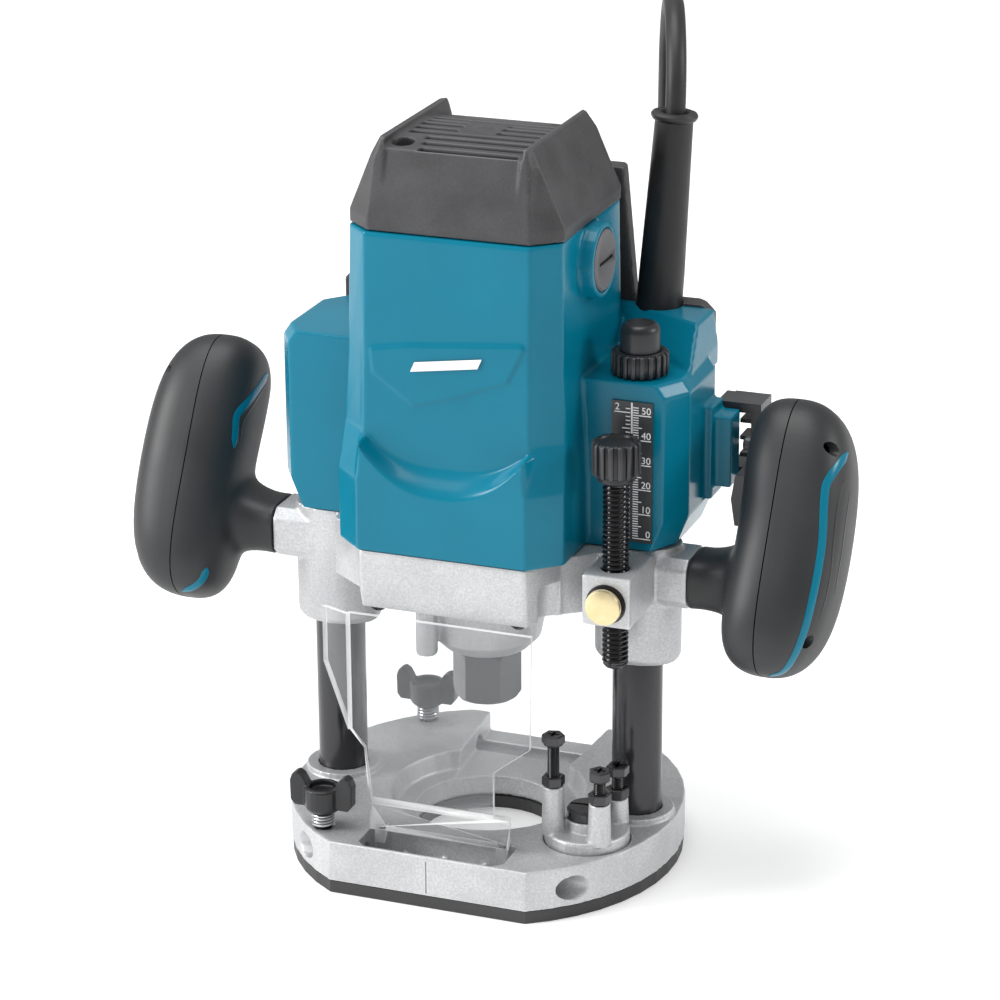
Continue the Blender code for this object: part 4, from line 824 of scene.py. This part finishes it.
def makeHousing():
    h = housingSet
    housing = melted(copyOf("motor_housing", "motor_housing_moulded"), h["voxel"], 2)
    edge = h["panelEdge"]
    for vertex in housing.data.vertices:
        x, y, z = vertex.co / mm
        if y > -h["reachBack"] or abs(x) > h["reachSide"] or z > h["reachTop"]:
            continue
        move = (frontShape(x, z) - plainFront(z)) * (1 - ease(abs(x), *h["sideOver"]))
        onPanel = z > h["panelFoot"] and abs(x) < h["panelHalf"]
        rise = h["panelProud"] * ease(insideDepth(x, z, h["panel"]), -edge, edge) if onPanel else 0.0
        vertex.co.y += (move * ease(-y, *h["reachOver"]) - rise) * mm
    applied(housing, "SMOOTH", factor=0.5, iterations=1)
    place(housing, "head", tealNylon, "housing_plastic", "motor_housing")
    bar = loft("front_mark", [[(x, h["barFront"] - lift, z) for x, z in h["bar"]]
                              for lift in (0.0, h["barThick"])])
    place(crisp(bar, 0.12, 1), "head", whiteInk, "scale_film")


guardSet = {
    "foot": (56.4, 45.0, 220.5), "top": (60.6, 49.2, 297.5),
    "sleeve": [(4.4, -9.5), (8.8, -9.5), (9.0, 0), (8.95, 12)],  # radius and height from the foot
    "collar": [(7.5, -5.0), (7.5, -3.9), (8.5, -3.3), (9.15, -2.3), (9.2, -1.4), (8.6, -0.5), (7.4, -0.1),
               (5.6, -0.5), (5.0, -1.4), (4.4, -4)],  # radius and height from the top
}


def makeGuard():
    foot, top = Vector(guardSet["foot"]), Vector(guardSet["top"])
    length = (top - foot).length
    profile = guardSet["sleeve"] + [(radius, length + rise) for radius, rise in guardSet["collar"]]
    guard = lathe("cord_guard_moulded", profile, foot, top - foot, 64)
    place(guard, "head", blackRubber, "black_plastic", "cord_guard")


shieldSet = {"wall": 1.4}


def makeShield():
    shield = copyOf("chip_shield", "chip_shield_moulded")
    place(shield, "base", clearPoly, "clear_plastic", "chip_shield")
    # second slot: the painted rim highlight
    shield.data.materials.append(clearRimHighlight)
    for face in shield.data.polygons:
        # the thin faces round the rim are the wall's own thickness; they carry the painted rim highlight
        corners = [shield.data.vertices[i].co for i in face.vertices]
        girth = sum((a - b).length for a, b in zip(corners, corners[1:] + corners[:1]))
        if 2 * face.area / girth < shieldSet["wall"] * mm:
            face.material_index = 1


coverSet = {
    "voxel": 0.6, "rearVoxel": 0.7,
    "slots": (-24, -16, -8, 0, 8, 16, 24), "slotHalf": 1.5, "slotTall": (205, 250), "through": (40, 60),
    "screws": [(x, z) for x in (-34, 34) for z in (158, 258)], "seat": (4.2, 49.5, 60),
    "screw": [(0, 49.8), (3.4, 49.8), (3.4, 51.4), (2.6, 52.2), (1.4, 52.4), (1.2, 51.6), (0, 51.6)],
}


def makeCovers():
    cover = melted(copyOf("top_cover", "top_cover_moulded"), coverSet["voxel"], 3)
    place(cover, "head", sparkNylon, "cover_plastic", "top_cover")
    half, (radius, inner, outer) = coverSet["slotHalf"], coverSet["seat"]
    tools = [block("slot", (x - half, x + half), coverSet["through"], coverSet["slotTall"])
             for x in coverSet["slots"]]
    tools += [rod("screw_seat", radius, (x, inner, z), (x, outer, z), 28) for x, z in coverSet["screws"]]
    rear = combined(copyOf("rear_cover", "rear_cover_moulded"), tools, "DIFFERENCE")
    rear = melted(rear, coverSet["rearVoxel"], 2)
    for k, (x, z) in enumerate(coverSet["screws"], 1):
        screw = lathe(f"rear_screw_{k}", coverSet["screw"], (x, 0, z), (0, 1, 0), 32)
        place(screw, "head", plainSteel, "bright_steel")
    place(rear, "head", sparkNylon, "cover_plastic", "rear_cover")


gripSet = {
    "centre": (126.0, 2.0, 145.5), "half": 21.3, "deep": 24.0, "long": 54.0, "lean": 29.5, "bow": 5,
    "square": 0.74, "fullness": 4.2, "taper": 2.6, "ends": 0.994,
    "neckStart": 87.4, "neckHeight": 125.6, "neckHigh": 20.5, "neckDeep": 25.0, "neckLong": 33,
    "neckSquare": 0.62, "flare": (0.6, 9.0, 0.15, 1.7), "climb": 5.0,
    "voxel": 0.8, "wall": 3.2, "split": 121.5, "seam": 0.5,
    "screwRadius": 2.7, "screwOut": (128, 155), "screws": ((3.5, 183.4), (-27.5, 116.6)),
    "window": ((90, 116), (3.4, 16.6), (146.4, 168.6)), "lockBore": (3.4, 16, 177),
    "accentWide": 3.4, "grooveShadeWide": 1.1, "accentProud": 0.25, "grooveShadeProud": 0.1,
}
# lines on the grips that carry a coloured strip, and beside them dark strips that stand for grooves: painted
# groove shade
accents = {
    "left": [
        [(-104.6, 26.1, 179.5), (-103.8, 18.1, 177.4), (-104.3, 7.3, 173.9), (-106.1, -0.7, 170.3),
         (-106.0, -3.2, 164.4), (-105.7, -5.5, 157.5)],
        [(-107.7, -31.1, 114.9), (-108.9, -31.7, 110.6), (-112.7, -32.4, 106.5), (-118.9, -31.6, 103.6)],
    ],
    "right": [
        [(143.6, 11.5, 180.0), (142.5, 1.5, 177.6), (140.2, -5.2, 173.1), (140.3, -9.1, 167.2),
         (141.7, -15.6, 153.6), (142.0, -21.0, 143.5), (141.3, -26.0, 133.1), (139.4, -30.6, 120.4),
         (136.0, -31.4, 110.8), (131.1, -29.0, 103.4), (125.5, -27.8, 101.0)],
    ],
}
grooveShadeLines = {
    "left": [[(-105.5, 22.1, 176.0), (-104.9, 8.3, 170.3), (-106.3, 2.2, 166.6), (-106.2, -1.0, 160.0)]],
    "right": [
        [(144.3, 2.8, 172.0), (144.0, -4.4, 164.6), (144.8, -11.4, 151.5), (145.2, -17.0, 137.5),
         (144.0, -23.5, 125.0)],
        [(146.0, 5.5, 166.0), (146.0, -1.4, 155.6), (146.0, -7.4, 143.5), (145.6, -13.0, 131.5)],
    ],
}


def gripForm(name, side, inset=0.0, rings=44, count=72):
    # a leaning, flattened barrel, fuller than an egg and bowed towards the tool at both ends
    g = gripSet
    lean = math.radians(g["lean"])
    along = Vector((0, math.sin(lean), math.cos(lean)))
    across = Vector((0, math.cos(lean), -math.sin(lean)))
    cx, cy, cz = g["centre"]
    reach = 1 - inset / g["long"]
    levels = []
    for k in range(rings):
        t = math.sin(math.pi * (k / (rings - 1) - 0.5)) * g["ends"] * reach
        size = (1 - abs(t) ** g["fullness"]) ** (1 / g["taper"])
        middle = Vector((side * (cx - g["bow"] * t * t), cy, cz)) + along * (t * g["long"])
        ring = []
        for i in range(count):
            angle = 2 * math.pi * i / count
            wide = squared(math.cos(angle), g["square"]) * (g["half"] - inset) * size
            deep = squared(math.sin(angle), g["square"]) * (g["deep"] - inset) * size
            ring.append(middle + Vector((side * wide, 0, 0)) + across * deep)
        levels.append(ring)
    return loft(name, levels)


def neckForm(name, side):
    # the arm between the shoulder and the grip, which flares as it runs in
    g = gripSet
    least, most, after, power = g["flare"]
    levels = []
    for k in range(15):
        share = k / 14
        x = g["neckStart"] + share * g["neckLong"]
        grow = least + most * max(0.0, share - after) ** power
        rise = g["climb"] * share ** 2
        ring = []
        for i in range(56):
            angle = 2 * math.pi * i / 56
            deep = squared(math.cos(angle), g["neckSquare"]) * (g["neckDeep"] / 2 + grow)
            high = squared(math.sin(angle), g["neckSquare"]) * (g["neckHigh"] / 2 + grow + rise)
            ring.append((side * x, deep, g["neckHeight"] + rise + high))
        levels.append(ring)
    return loft(name, levels)


def nearNeck(p):
    return ease(abs(p.x), 88, 93) * ease(124 - abs(p.x), 0, 12) * ease(40 - abs(p.z - 132), 0, 10)


def softened(thing, near, rounds):
    # the smoothing is strong where the weight function says, and none elsewhere
    group = thing.vertex_groups.new(name="soft")
    for vertex in thing.data.vertices:
        weight = near(vertex.co / mm)
        if weight > 0.01:
            group.add([vertex.index], weight, "REPLACE")
    return applied(thing, "SMOOTH", factor=0.5, iterations=rounds, vertex_group="soft")


def cutAt(thing, name, side, x, keepOuter):
    # one half of a closed form, with the cut face filled
    part = thing.copy()
    part.data = thing.data.copy()
    part.name = name
    bpy.context.scene.collection.objects.link(part)
    bm = bmesh.new()
    bm.from_mesh(part.data)
    away = Vector((side, 0, 0)) if keepOuter else Vector((-side, 0, 0))
    cut = bmesh.ops.bisect_plane(bm, geom=bm.verts[:] + bm.edges[:] + bm.faces[:], plane_no=away,
                                 plane_co=(side * x * mm, 0, 0), clear_inner=True, dist=0.0000001)
    edges = [e for e in cut["geom_cut"] if isinstance(e, bmesh.types.BMEdge)]
    bmesh.ops.holes_fill(bm, edges=edges, sides=0)
    bmesh.ops.recalc_face_normals(bm, faces=bm.faces)
    bm.to_mesh(part.data)
    bm.free()
    return part


def ribbon(name, tree, points, width, lift):
    # a thin strip pressed on to a moulded surface along a line of points near it
    section = ((-0.5, -0.5), (-0.5, lift * 0.6), (-0.4, lift), (0, lift), (0.4, lift), (0.5, lift * 0.6),
               (0.5, -0.5), (0, -0.5))  # share of the width, height off the surface
    line = smoothLine(points, 10)
    rows = []
    for i, at in enumerate(line):
        ahead = (line[min(i + 1, len(line) - 1)] - line[max(i - 1, 0)]).normalized()
        spot, normal, _, _ = tree.find_nearest(Vector(at) * mm)
        side = normal.cross(ahead).normalized()
        taper = min(1.0, 0.25 + i / 6, 0.25 + (len(line) - 1 - i) / 6)
        row = []
        for share, rise in section:
            aim = spot / mm + side * (share * width * taper)
            hit, out, _, _ = tree.find_nearest(aim * mm)
            row.append(hit / mm + out * rise)
        rows.append(row)
    return loft(name, rows)


def gripHoles(side, sign):
    near, far = gripSet["screwOut"]
    tools = [rod("screw_hole", gripSet["screwRadius"], (sign * near, y, z), (sign * far, y, z), 28)
             for y, z in gripSet["screws"]]
    if side == "right":  # the switch and its lock-off button are in this grip
        radius, y, z = gripSet["lockBore"]
        tools += [block("window", *gripSet["window"]), rod("bore", radius, (90, y, z), (116, y, z), 32)]
    return tools


def makeGrips():
    g = gripSet
    for side, sign in (("left", -1), ("right", 1)):
        whole = combined(gripForm("whole", sign), [neckForm("neck", sign)], "UNION")
        whole = softened(melted(whole, g["voxel"], 2), nearNeck, 150)
        tree = BVHTree.FromObject(whole, bpy.context.evaluated_depsgraph_get())
        for k, line in enumerate(accents[side], 1):
            strip = ribbon(f"{side}_grip_accent_{k}", tree, line, g["accentWide"], g["accentProud"])
            place(strip, "head", tealNylon, "housing_plastic")
        # painted groove shade: dark strips stand a hair proud where the grooves would be, nothing is sunk
        for k, line in enumerate(grooveShadeLines[side], 1):
            strip = ribbon(f"{side}_grip_groove_{k}", tree, line, g["grooveShadeWide"], g["grooveShadeProud"])
            place(strip, "head", blackAcetal, "black_plastic")
        whole = combined(whole, [gripForm("hollow", sign, g["wall"], 20, 32)], "DIFFERENCE")
        whole = combined(whole, gripHoles(side, sign), "DIFFERENCE")
        for part, offset in (("inner", -g["seam"] / 2), ("outer", g["seam"] / 2)):
            shell = cutAt(whole, f"{side}_grip_{part}_moulded", sign, g["split"] + offset, part == "outer")
            place(shell, "head", softTouch, "grip_plastic", f"{side}_grip_{part}")
        bpy.data.objects.remove(whole, do_unlink=True)


makeCasting()
makeHousing()
makeCovers()
makeGuard()
makeShield()
makeGrips()
print("shells made")

dress(plainSteel, "upper_bearing", "lower_bearing", "field_core", "armature_core", "spindle", "collet",
      "lock_bolt")
dress(oxideSteel, "collet_nut", bevel=0.4)
dress(sparkNylon, "brush_cap_left", "brush_cap_right", bevel=0.3)
dress(pressedCarbon, "carbon_brush_left", "carbon_brush_right")
dress(brownCopper, "commutator")
dress(blackAcetal, "cooling_fan", "switch_body", "switch_trigger", "lock_off_button", "lock_lever",
      "shaft_lock", "cable_clip", bevel=0.4)
dress(printedFilm, "scale_plate")
print("inner pieces dressed")

# Millimetres run up the right side of the printed scale and sixteenths of an inch up the left.
scaleSet = {
    "front": -13.4 - 0.3 - 0.6,  # the shoulder's face, a small gap and the film's thickness
    "zero": 144.3, "proud": 0.12, "sunk": 0.05, "halfLine": 0.2,
    "right": 65.8, "long": 73.0, "middle": 69.3, "short": 68.0, "lines": 54,
    "left": 64.6, "leftLong": 58.2, "leftMiddle": 61.4, "leftShort": 62.8, "leftLines": 34,
    "bar": ((64.9, 65.6), 193.0, 6.2), "textSize": 3.9, "textThick": 0.05, "inch": ("2", 60.4, 195.9),
}


def scaleLines():
    s = scaleSet
    lines = []
    for k in range(s["lines"]):
        far = s["long"] if k % 10 == 0 else (s["middle"] if k % 5 == 0 else s["short"])
        lines.append(((s["right"], far), s["zero"] + k, s["halfLine"]))
    for k in range(s["leftLines"]):
        near = s["leftLong"] if k == 32 else (s["leftMiddle"] if k % 4 == 0 else s["leftShort"])
        lines.append(((near, s["left"]), s["zero"] + k * 25.4 / 16, s["halfLine"]))
    return lines + [s["bar"]]


def makeScale():
    # white marks stand a hair proud of the film
    s = scaleSet
    points, faces = [], []
    for (x0, x1), z, half in scaleLines():
        at = len(points)
        outline = ((x0, z - half), (x1, z - half), (x1, z + half), (x0, z + half))
        for y in (s["front"] - s["proud"], s["front"] + s["sunk"]):
            points += [(x, y, height) for x, height in outline]
        faces += [[at + 3, at + 2, at + 1, at], [at + 4, at + 5, at + 6, at + 7]]
        faces += [[at + i, at + (i + 1) % 4, at + 4 + (i + 1) % 4, at + 4 + i] for i in range(4)]
    place(meshObject("scale_marks", points, faces), "head", whiteInk, "scale_film")
    words = [(str(10 * k), s["long"], s["zero"] + 10 * k + 0.7) for k in range(6)] + [s["inch"]]
    for k, (word, x, z) in enumerate(words):
        number = bpy.data.curves.new(f"scale_number_{k}", "FONT")
        number.body, number.size, number.align_x = word, s["textSize"] * mm, "RIGHT"
        number.extrude = s["textThick"] * mm
        number.materials.append(whiteInk)
        text = bpy.data.objects.new(f"scale_number_{k}", number)
        bpy.context.scene.collection.objects.link(text)
        spot = Matrix.Translation(Vector((x, s["front"] - 0.1, z)) * mm)
        text.matrix_world = spot @ Matrix.Rotation(math.pi / 2, 4, "X")
        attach(text, "head")


makeScale()
print("scale made")

# A soft key from the left, a wide light above and a weak one behind the right side.
studioSet = {
    "floor": [(-4000, -3000, 0), (4000, -3000, 0), (4000, 5000, 0), (-4000, 5000, 0)], "floorDrop": -0.0002,
    "paper": 0.9, "paperRough": 0.8, "paperGlow": 0.25, "sky": 0.45, "aim": (0, 0, 0.13),
    "lights": {
        "key": ((-2.1, -1.15, 1.2), 1.0, 50.0),  # place, size, watts
        "top": ((-0.4, -0.1, 2.2), 1.6, 34.0),
        "rim": ((1.7, 0.5, 1.0), 0.5, 11.0),
    },
}


def makeFloor():
    floor = meshObject("floor", studioSet["floor"], [[0, 1, 2, 3]])
    floor.location.z = studioSet["floorDrop"]
    material, _, shader, _ = newMaterial("paper_floor_white")
    shader.inputs["Base Color"].default_value = grey(studioSet["paper"])
    shader.inputs["Roughness"].default_value = studioSet["paperRough"]
    shader.inputs["Emission Color"].default_value = grey(1.0)
    shader.inputs["Emission Strength"].default_value = studioSet["paperGlow"]
    floor.data.materials.append(material)


def makeStudio():
    scene = bpy.context.scene
    if scene.world is None:
        scene.world = bpy.data.worlds.new("studio")
    scene.world.use_nodes = True
    sky = scene.world.node_tree.nodes["Background"]
    sky.inputs["Color"].default_value = grey(1.0)
    sky.inputs["Strength"].default_value = studioSet["sky"]
    for name, (at, size, power) in studioSet["lights"].items():
        data = bpy.data.lights.new(name, "AREA")
        data.size, data.energy = size, power
        lamp = bpy.data.objects.new(name, data)
        lamp.location = at
        aim = Vector(studioSet["aim"]) - Vector(at)
        lamp.rotation_euler = aim.to_track_quat("-Z", "Y").to_euler()
        scene.collection.objects.link(lamp)
    scene.view_settings.view_transform = "Standard"


makeFloor()
makeStudio()
print("studio made")
